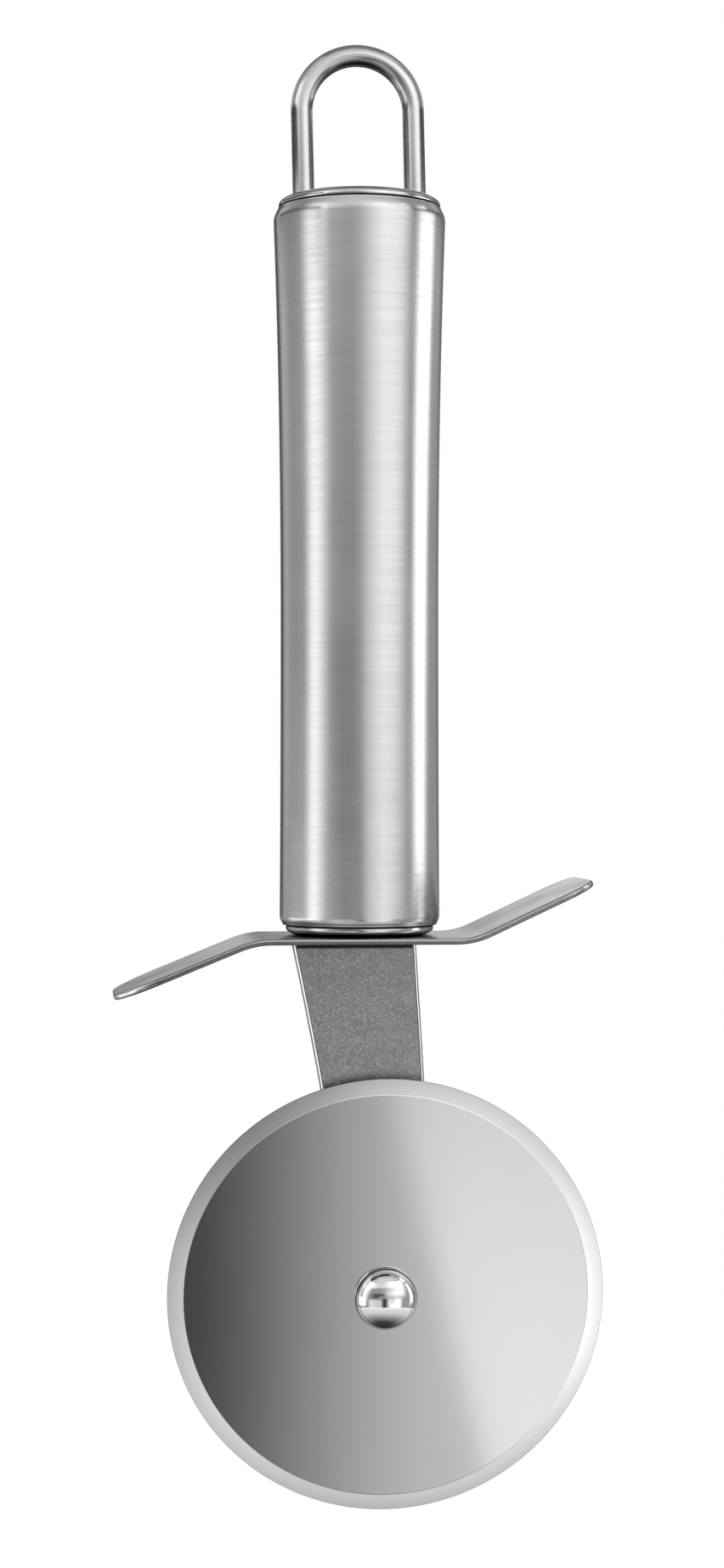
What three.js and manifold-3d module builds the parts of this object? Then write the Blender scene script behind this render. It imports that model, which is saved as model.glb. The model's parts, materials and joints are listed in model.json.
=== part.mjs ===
// A stainless pizza wheel as it hangs: wire loop on top, hollow handle, finger guard, shank and wheel.
// Millimetres, +Z up. The origin is the point inside the loop's top where a hook carries it.
// The wheel's face and the rivet's domed head look towards -Y.
import * as THREE from "three";
import { mergeVertices } from "three/addons/utils/BufferGeometryUtils.js";
import Module from "manifold-3d";

// Handle tube
const TUBE_LENGTH = 105.55;
const TUBE_TOP_RADIUS = 12.75;
const TUBE_WAIST_RADIUS = 11.65;
const TUBE_BOTTOM_RADIUS = 11.8;
const TUBE_WAIST_DEPTH = 64;
const TUBE_FLARE_POWER = 2.25;
const TUBE_WALL = 0.8;
const TOP_ROLL_IN = 0.8;
const TOP_ROLL_HEIGHT = 2.1;
const BOTTOM_ROLL_IN = 0.9;
const BOTTOM_ROLL_HEIGHT = 1.6;

// End caps: pressed dishes whose skirts plug the tube
const CAP_HEIGHT = 1.5;
const CAP_EDGE_WIDTH = 1.9;
const CAP_SHEET = 0.6;
const CAP_SKIRT_DEPTH = 4;
const CAP_FIT = 0.1;
const CAP_SEAM = 0.15;

// Hanging loop of round wire, its legs just inside the top cap's skirt
const WIRE_DIAMETER = 3.2;
const LOOP_LEG_LENGTH = 12.95;
const LOOP_LEG_INSET = 0.55;
const LOOP_TAIL = 1.1;
const LOOP_HOLE_FIT = 0.15;

// Finger guard: a flat strip with one wing down (left) and one wing up (right).
// Its ledges run past the lower cap as far as the bends.
const GUARD_SHEET = 0.9;
const GUARD_DEPTH = 24;
const GUARD_LEFT_LEDGE = 5.1;
const GUARD_RIGHT_LEDGE = 4.7;
const GUARD_LEFT_WING = 22;
const GUARD_RIGHT_WING = 19.9;
const GUARD_LEFT_DEGREES = 22.2;
const GUARD_RIGHT_DEGREES = 25;
const GUARD_BEND = 2.5;
const GUARD_LEFT_CORNER = 7.4;
const GUARD_RIGHT_CORNER = 5;

// Shank: a plate bent back a little under the guard, with a tang up into the handle.
// Each run is how far a side keeps its direction before it curves.
const SHANK_SHEET = 2;
const SHANK_LEFT_SHOULDER = 3.1;
const SHANK_RIGHT_SHOULDER = 1.3;
const SHANK_BEND_DROP = 1.5;
const SHANK_LEAN_DEGREES = 4.6;
const SHANK_END_RADIUS = 6.8;
const SHANK_END_RUN = 17.5;
const SHANK_LEFT_RUN = 18;
const SHANK_LEFT_DEGREES = 12;
const SHANK_RIGHT_RUN = 17.5;
const SHANK_RIGHT_DEGREES = 4;
const TANG_INSET = 2.4;
const TANG_RISE = 12;
const TANG_FIT = 0.15;

// Cutting wheel and its rivet
const WHEEL_DIAMETER = 65;
const WHEEL_SHEET = 1;
const WHEEL_BEVEL = 2.4;
const WHEEL_EDGE = 0.2;
const WHEEL_OFFSET = 4.15;
const GUARD_TO_RIM = 20.1;
const WHEEL_FIT = 0.1;
const RIVET_SHOULDER_DIAMETER = 6;
const RIVET_TAIL_STEP = 1;
const RIVET_HEAD_LIP = 1.85;
const RIVET_HEAD_HEIGHT = 3.9;
const RIVET_HEAD_EDGE = 0.45;
const RIVET_HEAD_UNDERCUT = 0.4;
const RIVET_CLOSED_LIP = 1.3;
const RIVET_CLOSED_HEIGHT = 1.5;
const WASHER_BAND = 2.9;
const WASHER_SHEET = 0.6;
const TAIL_WASHER_BAND = 2.4;
const TAIL_WASHER_SHEET = 0.8;

// Weld beads and the gaps that seated pieces keep
const WELD_LEG = 1.8;
const WELD_GAP = 0.1;
const TANG_WELD_INSET = 1.5;
const SEAT_GAP = 0.05;
const FACE_GAP = 0.15;

// How far a cut runs past the sheet that it goes through
const CUT_PAST = 1;

// Fineness of round shapes
const TUBE_SIDES = 44;
const WHEEL_SIDES = 72;
const SMALL_SIDES = 32;
const WIRE_SIDES = 7;
const LOOP_STEPS = 40;
const ARC_STEPS = 5;
const MAIN_STEPS = 8;

// Radii that the caps, the loop, the tang and the tube share
const wireRadius = WIRE_DIAMETER / 2;
const topMouthRadius = TUBE_TOP_RADIUS - TOP_ROLL_IN;
const bottomMouthRadius = TUBE_BOTTOM_RADIUS - BOTTOM_ROLL_IN;
const skirtRadius = (mouthRadius) => mouthRadius - TUBE_WALL - CAP_FIT;
const skirtInnerRadius = (mouthRadius) => skirtRadius(mouthRadius) - CAP_SHEET;
const loopRadius = skirtInnerRadius(topMouthRadius) - LOOP_LEG_INSET - wireRadius;
const halfTang = skirtInnerRadius(bottomMouthRadius) - TANG_INSET;

// Levels, from the hook point down
const loopCentreZ = wireRadius - loopRadius;
const topCapZ = loopCentreZ - LOOP_LEG_LENGTH;
const tubeTopZ = topCapZ - CAP_HEIGHT;
const tubeBottomZ = tubeTopZ - TUBE_LENGTH;
const bottomCapZ = tubeBottomZ - CAP_HEIGHT;
const guardTopZ = bottomCapZ - SEAT_GAP;
const guardBottomZ = guardTopZ - GUARD_SHEET;
const shankTopZ = guardBottomZ - SEAT_GAP;
const bendZ = shankTopZ - SHANK_BEND_DROP;
const bottomFloorZ = bottomCapZ + CAP_SHEET;
const tangTopZ = bottomFloorZ + TANG_RISE;

// The wheel's place in the leaning frame that starts at the shank's bend
const wheelRadius = WHEEL_DIAMETER / 2;
const shoulderRadius = RIVET_SHOULDER_DIAMETER / 2;
const tailRadius = shoulderRadius - RIVET_TAIL_STEP;
const axleDrop = GUARD_TO_RIM + wheelRadius - SHANK_BEND_DROP;
const lean = THREE.MathUtils.degToRad(SHANK_LEAN_DEGREES);
const axleY = axleDrop * Math.sin(lean);
const axleZ = bendZ - axleDrop * Math.cos(lean);

// The stack along the rivet, from the shank's faces outwards
const shankFace = SHANK_SHEET / 2;
const washerBack = -shankFace - FACE_GAP;
const washerFront = washerBack - WASHER_SHEET;
const wheelBack = washerFront - FACE_GAP;
const wheelFront = wheelBack - WHEEL_SHEET;
const headBack = wheelFront - FACE_GAP;
const tailWasherFront = shankFace + FACE_GAP;
const tailWasherBack = tailWasherFront + TAIL_WASHER_SHEET;
const closedFront = tailWasherBack + FACE_GAP;

const wasm = await Module();
wasm.setup();

// A closed geometry as a solid that can be joined and cut.
function solid(geometry) {
  const bare = geometry.clone();
  bare.deleteAttribute("normal");
  bare.deleteAttribute("uv");
  const merged = mergeVertices(bare, 1e-4);
  return new wasm.Manifold(
    new wasm.Mesh({
      numProp: 3,
      vertProperties: new Float32Array(merged.attributes.position.array),
      triVerts: new Uint32Array(merged.index.array),
    }),
  );
}

// A solid back as a geometry.
function geometryOf(body) {
  const mesh = body.getMesh();
  const geometry = new THREE.BufferGeometry();
  geometry.setAttribute("position", new THREE.BufferAttribute(mesh.vertProperties, 3));
  geometry.setIndex(new THREE.BufferAttribute(mesh.triVerts, 1));
  geometry.computeVertexNormals();
  return geometry;
}

// A box between two corners.
function block(low, high) {
  const size = new THREE.Vector3().subVectors(high, low);
  const centre = new THREE.Vector3().addVectors(low, high).multiplyScalar(0.5);
  return new THREE.BoxGeometry(size.x, size.y, size.z).translate(centre.x, centre.y, centre.z);
}

// An outline in X and Z pushed from y = low to y = high.
function plateAlongY(shape, low, high) {
  const geometry = new THREE.ExtrudeGeometry(shape, {
    depth: high - low,
    bevelEnabled: false,
    curveSegments: ARC_STEPS,
  });
  return geometry.rotateX(Math.PI / 2).translate(0, high, 0);
}

// An outline in Y and Z pushed from x = -reach to x = reach.
function plateAlongX(shape, reach) {
  const geometry = new THREE.ExtrudeGeometry(shape, {
    depth: 2 * reach,
    bevelEnabled: false,
    curveSegments: ARC_STEPS,
  });
  return geometry.rotateX(Math.PI / 2).rotateZ(Math.PI / 2).translate(-reach, 0, 0);
}

// A turned piece whose axis is Z: the profile gives radius and height.
function turnedUpright(profile, sides) {
  return new THREE.LatheGeometry(profile, sides).rotateX(Math.PI / 2);
}

// A round bar about the Y axis, as far to each side of the origin as its reach.
function roundBar(radius, reach, sides) {
  return new THREE.CylinderGeometry(radius, radius, 2 * reach, sides);
}

// The tube's outside radius at a depth below its upper end.
function tubeRadius(depth) {
  const above = Math.max(0, 1 - depth / TUBE_WAIST_DEPTH);
  const below = Math.max(0, depth - TUBE_WAIST_DEPTH) / (TUBE_LENGTH - TUBE_WAIST_DEPTH);
  const flare = (TUBE_TOP_RADIUS - TUBE_WAIST_RADIUS) * above ** TUBE_FLARE_POWER;
  const foot = (TUBE_BOTTOM_RADIUS - TUBE_WAIST_RADIUS) * below ** 2;
  const topRoll = Math.max(0, 1 - depth / TOP_ROLL_HEIGHT);
  const bottomRoll = Math.max(0, 1 - (TUBE_LENGTH - depth) / BOTTOM_ROLL_HEIGHT);
  const rolledIn = TOP_ROLL_IN * topRoll ** 2 + BOTTOM_ROLL_IN * bottomRoll ** 2;
  return TUBE_WAIST_RADIUS + flare + foot - rolledIn;
}

// The waisted tube, open at both ends, its wall the same all the way.
function handleTube() {
  const depths = [];
  const mainLength = TUBE_LENGTH - TOP_ROLL_HEIGHT - BOTTOM_ROLL_HEIGHT;
  for (let i = 0; i < ARC_STEPS; i++) depths.push((TOP_ROLL_HEIGHT * i) / ARC_STEPS);
  for (let i = 0; i < MAIN_STEPS; i++) depths.push(TOP_ROLL_HEIGHT + (mainLength * i) / MAIN_STEPS);
  for (let i = 0; i <= ARC_STEPS; i++) {
    depths.push(TUBE_LENGTH - BOTTOM_ROLL_HEIGHT * (1 - i / ARC_STEPS));
  }
  const outside = depths.map((d) => new THREE.Vector2(tubeRadius(d), tubeTopZ - d));
  const inside = outside.map((p) => new THREE.Vector2(p.x - TUBE_WALL, p.y));
  const profile = [...inside, ...outside.reverse(), inside[0].clone()];
  return turnedUpright(profile, TUBE_SIDES);
}

// A dish on a tube's mouth, drawn with its crown upwards and the tube's end at height 0.
function capProfile(mouthRadius) {
  const outer = skirtRadius(mouthRadius);
  const inner = skirtInnerRadius(mouthRadius);
  const floor = CAP_HEIGHT - CAP_SHEET;
  const profile = [
    new THREE.Vector2(0, floor),
    new THREE.Vector2(inner, floor),
    new THREE.Vector2(inner, -CAP_SKIRT_DEPTH),
    new THREE.Vector2(outer, -CAP_SKIRT_DEPTH),
    new THREE.Vector2(outer, CAP_SEAM),
  ];
  for (let i = 0; i <= ARC_STEPS; i++) {
    const angle = ((Math.PI / 2) * i) / ARC_STEPS;
    const across = mouthRadius - CAP_EDGE_WIDTH * (1 - Math.cos(angle));
    const up = CAP_SEAM + (CAP_HEIGHT - CAP_SEAM) * Math.sin(angle);
    profile.push(new THREE.Vector2(across, up));
  }
  profile.push(new THREE.Vector2(0, CAP_HEIGHT));
  return profile;
}

// The upper dish with a hole for each leg of the loop.
function topCap() {
  let body = solid(turnedUpright(capProfile(topMouthRadius), TUBE_SIDES).translate(0, 0, tubeTopZ));
  for (const side of [-1, 1]) {
    const hole = roundBar(wireRadius + LOOP_HOLE_FIT, CAP_SHEET + CUT_PAST, SMALL_SIDES);
    body = body.subtract(solid(hole.rotateX(Math.PI / 2).translate(side * loopRadius, 0, topCapZ)));
  }
  return geometryOf(body);
}

// The slot that the tang passes through, in the lower dish and in the guard.
function tangSlot() {
  const halfWidth = halfTang + TANG_FIT;
  const halfSheet = shankFace + TANG_FIT;
  return solid(
    block(
      new THREE.Vector3(-halfWidth, -halfSheet, guardBottomZ - CUT_PAST),
      new THREE.Vector3(halfWidth, halfSheet, bottomFloorZ + CUT_PAST),
    ),
  );
}

// The lower dish, turned over, with the tang's slot.
function bottomCap() {
  const dish = turnedUpright(capProfile(bottomMouthRadius), TUBE_SIDES).rotateX(Math.PI);
  return geometryOf(solid(dish.translate(0, 0, tubeBottomZ)).subtract(tangSlot()));
}

// The wire's centre line: up the left leg, round the bend and down the right leg.
class LoopPath extends THREE.Curve {
  constructor() {
    super();
    this.leg = LOOP_LEG_LENGTH + CAP_SHEET + WELD_GAP + WELD_LEG + LOOP_TAIL;
    this.arc = Math.PI * loopRadius;
  }

  getPoint(t, target = new THREE.Vector3()) {
    const along = t * (2 * this.leg + this.arc);
    const turned = THREE.MathUtils.clamp((along - this.leg) / this.arc, 0, 1) * Math.PI;
    const below = Math.max(0, this.leg - along, along - this.leg - this.arc);
    return target.set(
      -loopRadius * Math.cos(turned),
      0,
      loopCentreZ + loopRadius * Math.sin(turned) - below,
    );
  }
}

// The bent wire.
function hangingLoop() {
  const section = new THREE.Shape().absarc(0, 0, wireRadius, 0, 2 * Math.PI);
  return new THREE.ExtrudeGeometry(section, {
    extrudePath: new LoopPath(),
    steps: LOOP_STEPS,
    curveSegments: WIRE_SIDES,
  });
}

// A weld bead round one leg under the upper dish, kept clear of the dish's skirt.
function loopWeld(side) {
  const bore = wireRadius + WELD_GAP;
  const top = topCapZ - CAP_SHEET - WELD_GAP;
  const bead = [
    new THREE.Vector2(bore, top),
    new THREE.Vector2(bore, top - WELD_LEG),
    new THREE.Vector2(bore + WELD_LEG * Math.SQRT1_2, top - WELD_LEG * Math.SQRT1_2),
    new THREE.Vector2(bore + WELD_LEG, top),
    new THREE.Vector2(bore, top),
  ];
  const beadRing = turnedUpright(bead, SMALL_SIDES).translate(side * loopRadius, 0, 0);
  const room = roundBar(skirtInnerRadius(topMouthRadius) - WELD_GAP, WELD_LEG + CUT_PAST, TUBE_SIDES);
  return geometryOf(solid(beadRing).intersect(solid(room.rotateX(Math.PI / 2).translate(0, 0, top))));
}

// A fillet weld along one face of the tang, on the floor of the lower dish.
function tangWeld(side) {
  const bead = new THREE.Shape();
  bead.moveTo(0, 0);
  bead.lineTo(WELD_LEG, 0);
  bead.quadraticCurveTo(WELD_LEG * Math.SQRT1_2, WELD_LEG * Math.SQRT1_2, 0, WELD_LEG);
  bead.closePath();
  const bar = plateAlongX(bead, halfTang - TANG_WELD_INSET);
  if (side < 0) bar.rotateZ(Math.PI);
  return bar.translate(0, side * (shankFace + WELD_GAP), bottomFloorZ + WELD_GAP);
}

// The outline of a bent sheet: its middle line set off to both sides by half the sheet.
function sheetOutline(middle, sheet) {
  const normals = middle.map((point, i) => {
    const before = middle[Math.max(0, i - 1)];
    const after = middle[Math.min(middle.length - 1, i + 1)];
    const run = new THREE.Vector2().subVectors(after, before).normalize();
    return new THREE.Vector2(-run.y, run.x);
  });
  const upper = middle.map((p, i) => p.clone().addScaledVector(normals[i], sheet / 2));
  const lower = middle.map((p, i) => p.clone().addScaledVector(normals[i], -sheet / 2));
  return new THREE.Shape([...lower, ...upper.reverse()]);
}

// The guard's ends seen from the side, measured from the handle's axis.
const guardLeft = THREE.MathUtils.degToRad(GUARD_LEFT_DEGREES);
const guardRight = THREE.MathUtils.degToRad(GUARD_RIGHT_DEGREES);
const guardMiddleZ = (guardTopZ + guardBottomZ) / 2;
const guardLeftBend = -bottomMouthRadius - GUARD_LEFT_LEDGE;
const guardRightBend = bottomMouthRadius + GUARD_RIGHT_LEDGE;
const guardLeftTip = new THREE.Vector2(
  guardLeftBend - GUARD_LEFT_WING * Math.cos(guardLeft),
  guardMiddleZ - GUARD_LEFT_WING * Math.sin(guardLeft),
);
const guardRightTip = new THREE.Vector2(
  guardRightBend + GUARD_RIGHT_WING * Math.cos(guardRight),
  guardMiddleZ + GUARD_RIGHT_WING * Math.sin(guardRight),
);

// The strip's middle line from the left tip to the right tip, eased at both bends.
function guardMiddleLine() {
  const line = new THREE.Path();
  line.moveTo(guardLeftTip.x, guardLeftTip.y);
  line.lineTo(
    guardLeftBend - GUARD_BEND * Math.cos(guardLeft),
    guardMiddleZ - GUARD_BEND * Math.sin(guardLeft),
  );
  line.quadraticCurveTo(guardLeftBend, guardMiddleZ, guardLeftBend + GUARD_BEND, guardMiddleZ);
  line.lineTo(guardRightBend - GUARD_BEND, guardMiddleZ);
  line.quadraticCurveTo(
    guardRightBend,
    guardMiddleZ,
    guardRightBend + GUARD_BEND * Math.cos(guardRight),
    guardMiddleZ + GUARD_BEND * Math.sin(guardRight),
  );
  line.lineTo(guardRightTip.x, guardRightTip.y);
  return line.getPoints(ARC_STEPS);
}

// The strip seen from above: straight sides and ends with rounded corners.
function guardPlan() {
  const half = GUARD_DEPTH / 2;
  const leftCorner = Math.min(GUARD_LEFT_CORNER, half);
  const rightCorner = Math.min(GUARD_RIGHT_CORNER, half);
  const leftRound = leftCorner * Math.cos(guardLeft);
  const rightRound = rightCorner * Math.cos(guardRight);
  const leftStraight = half - leftCorner;
  const rightStraight = half - rightCorner;
  const left = guardLeftTip.x + leftRound;
  const right = guardRightTip.x - rightRound;
  const quarter = Math.PI / 2;
  const plan = new THREE.Shape();
  plan.absellipse(right, -rightStraight, rightRound, rightCorner, -quarter, 0);
  plan.absellipse(right, rightStraight, rightRound, rightCorner, 0, quarter);
  plan.absellipse(left, leftStraight, leftRound, leftCorner, quarter, 2 * quarter);
  plan.absellipse(left, -leftStraight, leftRound, leftCorner, 2 * quarter, 3 * quarter);
  return plan;
}

// The bent strip with rounded ends and the tang's slot.
function fingerGuard() {
  const half = GUARD_DEPTH / 2;
  const strip = plateAlongY(sheetOutline(guardMiddleLine(), GUARD_SHEET), -half, half);
  const low = guardLeftTip.y - GUARD_SHEET;
  const high = guardRightTip.y + GUARD_SHEET;
  const post = new THREE.ExtrudeGeometry(guardPlan(), {
    depth: high - low,
    bevelEnabled: false,
    curveSegments: ARC_STEPS,
  });
  return geometryOf(solid(strip).intersect(solid(post.translate(0, 0, low))).subtract(tangSlot()));
}

// The shank seen from the front: tang, shoulders, curved sides and a round end about the rivet.
function shankFrontOutline() {
  const left = -halfTang - SHANK_LEFT_SHOULDER;
  const right = halfTang + SHANK_RIGHT_SHOULDER;
  const endLeft = WHEEL_OFFSET - SHANK_END_RADIUS;
  const endRight = WHEEL_OFFSET + SHANK_END_RADIUS;
  const leftSlope = Math.tan(THREE.MathUtils.degToRad(SHANK_LEFT_DEGREES));
  const rightSlope = Math.tan(THREE.MathUtils.degToRad(SHANK_RIGHT_DEGREES));
  const outline = new THREE.Shape();
  outline.moveTo(halfTang, shankTopZ);
  outline.lineTo(halfTang, tangTopZ);
  outline.lineTo(-halfTang, tangTopZ);
  outline.lineTo(-halfTang, shankTopZ);
  outline.lineTo(left, shankTopZ);
  outline.bezierCurveTo(
    left + SHANK_LEFT_RUN * leftSlope,
    shankTopZ - SHANK_LEFT_RUN,
    endLeft,
    axleZ + SHANK_END_RUN,
    endLeft,
    axleZ,
  );
  outline.absarc(WHEEL_OFFSET, axleZ, SHANK_END_RADIUS, Math.PI, 2 * Math.PI);
  outline.bezierCurveTo(
    endRight,
    axleZ + SHANK_END_RUN,
    right + SHANK_RIGHT_RUN * rightSlope,
    shankTopZ - SHANK_RIGHT_RUN,
    right,
    shankTopZ,
  );
  return outline;
}

// The plate: its front outline and its bent side outline in one, with the rivet's hole.
function shank() {
  const deep = axleY + SHANK_END_RADIUS + SHANK_SHEET;
  const front = plateAlongY(shankFrontOutline(), -deep, deep);
  const past = axleDrop + SHANK_END_RADIUS + SHANK_SHEET + CUT_PAST;
  const middle = [
    new THREE.Vector2(past * Math.sin(lean), bendZ - past * Math.cos(lean)),
    new THREE.Vector2(0, bendZ),
    new THREE.Vector2(0, tangTopZ + CUT_PAST),
  ];
  const wide = halfTang + SHANK_LEFT_SHOULDER + SHANK_RIGHT_SHOULDER + WHEEL_OFFSET + SHANK_END_RADIUS;
  const side = plateAlongX(sheetOutline(middle, SHANK_SHEET), wide);
  const hole = roundBar(tailRadius + WHEEL_FIT, shankFace + CUT_PAST, SMALL_SIDES);
  const bored = solid(hole.rotateX(lean).translate(WHEEL_OFFSET, axleY, axleZ));
  return geometryOf(solid(front).intersect(solid(side)).subtract(bored));
}

// A flat washer on the rivet's axis between two faces: its bore's radius and its band.
function washer(bore, band, front, back) {
  const outside = bore + band;
  const profile = [
    new THREE.Vector2(bore, front),
    new THREE.Vector2(outside, front),
    new THREE.Vector2(outside, back),
    new THREE.Vector2(bore, back),
    new THREE.Vector2(bore, front),
  ];
  return new THREE.LatheGeometry(profile, SMALL_SIDES);
}

// The disc, ground to a thin edge from both faces.
function cuttingWheel() {
  const bore = shoulderRadius + WHEEL_FIT;
  const middle = (wheelFront + wheelBack) / 2;
  const flat = wheelRadius - WHEEL_BEVEL;
  const profile = [
    new THREE.Vector2(bore, wheelFront),
    new THREE.Vector2(flat, wheelFront),
    new THREE.Vector2(wheelRadius, middle - WHEEL_EDGE / 2),
    new THREE.Vector2(wheelRadius, middle + WHEEL_EDGE / 2),
    new THREE.Vector2(flat, wheelBack),
    new THREE.Vector2(bore, wheelBack),
    new THREE.Vector2(bore, wheelFront),
  ];
  return new THREE.LatheGeometry(profile, WHEEL_SIDES);
}

// Domed head in front, a shoulder for the wheel, and a tail closed behind the shank.
function axleRivet() {
  const headRadius = shoulderRadius + RIVET_HEAD_LIP;
  const closedRadius = tailRadius + RIVET_CLOSED_LIP;
  const domeBack = headBack - RIVET_HEAD_EDGE;
  const domeHeight = RIVET_HEAD_HEIGHT - RIVET_HEAD_EDGE;
  const quarterTurn = Array.from({ length: ARC_STEPS }, (_, i) => ((Math.PI / 2) * i) / ARC_STEPS);
  const dome = quarterTurn.map(
    (a) => new THREE.Vector2(headRadius * Math.sin(a), domeBack - domeHeight * Math.cos(a)),
  );
  const closed = quarterTurn.map(
    (a) => new THREE.Vector2(closedRadius * Math.cos(a), closedFront + RIVET_CLOSED_HEIGHT * Math.sin(a)),
  );
  const profile = [
    ...dome,
    new THREE.Vector2(headRadius, domeBack),
    new THREE.Vector2(headRadius - RIVET_HEAD_UNDERCUT, headBack),
    new THREE.Vector2(shoulderRadius, headBack),
    new THREE.Vector2(shoulderRadius, -shankFace - SEAT_GAP),
    new THREE.Vector2(tailRadius, -shankFace - SEAT_GAP),
    new THREE.Vector2(tailRadius, closedFront),
    ...closed,
    new THREE.Vector2(0, closedFront + RIVET_CLOSED_HEIGHT),
  ];
  return new THREE.LatheGeometry(profile, SMALL_SIDES);
}

// Finishes of bare stainless steel
function steel(colour, roughness) {
  return new THREE.MeshStandardMaterial({ color: colour, roughness, metalness: 1 });
}
const BRUSHED = [0xb4b4b2, 0.38];
const POLISHED = [0xc6c6c6, 0.12];
const SATIN = [0xbcbcba, 0.3];
const TUMBLED = [0x8f8f8d, 0.5];
const MIRROR = [0xd2d2d2, 0.05];
const WELD = [0x6e6a66, 0.6];

// One named piece in a group.
function add(group, name, geometry, finish) {
  const mesh = new THREE.Mesh(geometry, steel(...finish));
  mesh.name = name;
  group.add(mesh);
}

const pizzaWheel = new THREE.Group();
add(pizzaWheel, "hanging_loop", hangingLoop(), POLISHED);
add(pizzaWheel, "top_cap", topCap(), POLISHED);
add(pizzaWheel, "loop_weld_left", loopWeld(-1), WELD);
add(pizzaWheel, "loop_weld_right", loopWeld(1), WELD);
add(pizzaWheel, "handle_tube", handleTube(), BRUSHED);
add(pizzaWheel, "bottom_cap", bottomCap(), POLISHED);
add(pizzaWheel, "tang_weld_front", tangWeld(-1), WELD);
add(pizzaWheel, "tang_weld_rear", tangWeld(1), WELD);
add(pizzaWheel, "finger_guard", fingerGuard(), SATIN);
add(pizzaWheel, "shank", shank(), TUMBLED);

// The wheel and its rivet lean back with the shank.
const axle = new THREE.Group();
axle.position.set(WHEEL_OFFSET, axleY, axleZ);
axle.rotation.x = lean;
pizzaWheel.add(axle);
const wheelBore = shoulderRadius + WHEEL_FIT;
const tailBore = tailRadius + WHEEL_FIT;
add(axle, "cutting_wheel", cuttingWheel(), SATIN);
add(axle, "axle_rivet", axleRivet(), MIRROR);
add(axle, "wheel_washer", washer(wheelBore, WASHER_BAND, washerFront, washerBack), SATIN);
add(axle, "tail_washer", washer(tailBore, TAIL_WASHER_BAND, tailWasherFront, tailWasherBack), SATIN);

export default pizzaWheel;
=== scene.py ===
"""A stainless pizza wheel, dressed for the studio around its packed construction.

Every piece is a fine mesh in metres in the construction's own frame: +Z up, the wheel's face and the
rivet's dome towards -Y, the origin where a hook carries the wire loop. Each sub-assembly is a class that
holds its sizes and builds its meshes, and each finish is a class that makes one procedural material.
"""

import json
import logging
import math
from collections.abc import Callable, Sequence
from dataclasses import dataclass, field
from enum import Enum
from functools import reduce

import bmesh
import bpy
import numpy as np
from mathutils import Matrix, Vector


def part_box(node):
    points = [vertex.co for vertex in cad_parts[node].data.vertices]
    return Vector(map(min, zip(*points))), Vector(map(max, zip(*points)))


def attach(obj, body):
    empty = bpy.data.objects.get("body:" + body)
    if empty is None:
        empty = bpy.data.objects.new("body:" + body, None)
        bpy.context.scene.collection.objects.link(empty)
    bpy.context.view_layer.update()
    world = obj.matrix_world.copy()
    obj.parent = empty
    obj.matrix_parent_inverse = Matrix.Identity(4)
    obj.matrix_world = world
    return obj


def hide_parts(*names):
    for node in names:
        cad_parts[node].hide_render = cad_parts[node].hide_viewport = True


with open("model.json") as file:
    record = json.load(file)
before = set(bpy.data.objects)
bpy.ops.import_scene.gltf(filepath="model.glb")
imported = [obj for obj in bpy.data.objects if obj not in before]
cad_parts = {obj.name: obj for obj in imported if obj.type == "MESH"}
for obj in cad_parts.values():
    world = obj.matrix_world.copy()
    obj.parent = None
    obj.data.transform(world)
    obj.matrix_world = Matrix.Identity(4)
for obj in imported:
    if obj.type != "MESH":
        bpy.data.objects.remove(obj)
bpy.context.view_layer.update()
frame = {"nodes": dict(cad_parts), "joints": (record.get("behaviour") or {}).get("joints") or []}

LOG = logging.getLogger("pizza_wheel")
MM = 0.001
IMAGE_WIDTH = 852
IMAGE_HEIGHT = 1846
WHITE = (1.0, 1.0, 1.0, 1.0)
GUARD_SHEET = 0.9 * MM

Span = tuple[float, float]
Profile = list[Span]
Point = tuple[float, float, float]
Colour = tuple[float, float, float]
Piece = bpy.types.Object
Material = bpy.types.Material
Socket = bpy.types.NodeSocket
Value = float | Socket
Place = int | str


class Body(Enum):
    """The rigid bodies of the construction."""

    HANDLE = "handle"
    WHEEL = "wheel"


class Work(Enum):
    """What one closed piece does to another."""

    CUT = "DIFFERENCE"
    JOIN = "UNION"


class Slot(Enum):
    """The record's material slots."""

    TUBE = "brushed_tube"
    CAP = "polished_cap"
    WIRE = "polished_wire"
    GUARD = "satin_guard"
    SHANK = "tumbled_shank"
    WHEEL = "satin_wheel"
    RIVET = "mirror_rivet"
    WASHER = "plain_washer"
    WELD = "weld_bead"


# Shared geometry helpers


def divided(start: float, end: float, count: int) -> list[float]:
    """Evenly spaced values from a start up to an end, which is left out."""
    return [start + (end - start) * i / count for i in range(count)]


def circle(sides: int) -> list[Span]:
    """Cosine and sine of evenly spaced angles, once round."""
    return [(math.cos(a), math.sin(a)) for a in divided(0.0, 2 * math.pi, sides)]


def quarter_arc(centre: Span, radius: Span, start: float, steps: int) -> Profile:
    """A quarter turn of an ellipse, counter-clockwise from a start angle.

    Args:
        centre: Middle of the ellipse.
        radius: Half width and half height.
        start: Angle of the first point, in degrees.
        steps: How many short lines make the quarter.

    Returns:
        The points from the start to a quarter turn later.
    """
    turns = [math.radians(start + 90 * i / steps) for i in range(steps + 1)]
    return [(centre[0] + radius[0] * math.cos(a), centre[1] + radius[1] * math.sin(a)) for a in turns]


def ring_faces(low: Sequence[int], high: Sequence[int]) -> list[list[int]]:
    """The faces between two closed rings of points.

    Args:
        low: Points of the first ring. All alike where the ring is a single point.
        high: Points of the second ring, as many.

    Returns:
        The corners of each face, each point once.
    """
    faces = []
    for i in range(len(low)):
        j = (i + 1) % len(low)
        corners = list(dict.fromkeys((low[i], low[j], high[j], high[i])))
        if len(corners) > 2:
            faces.append(corners)
    return faces


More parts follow.
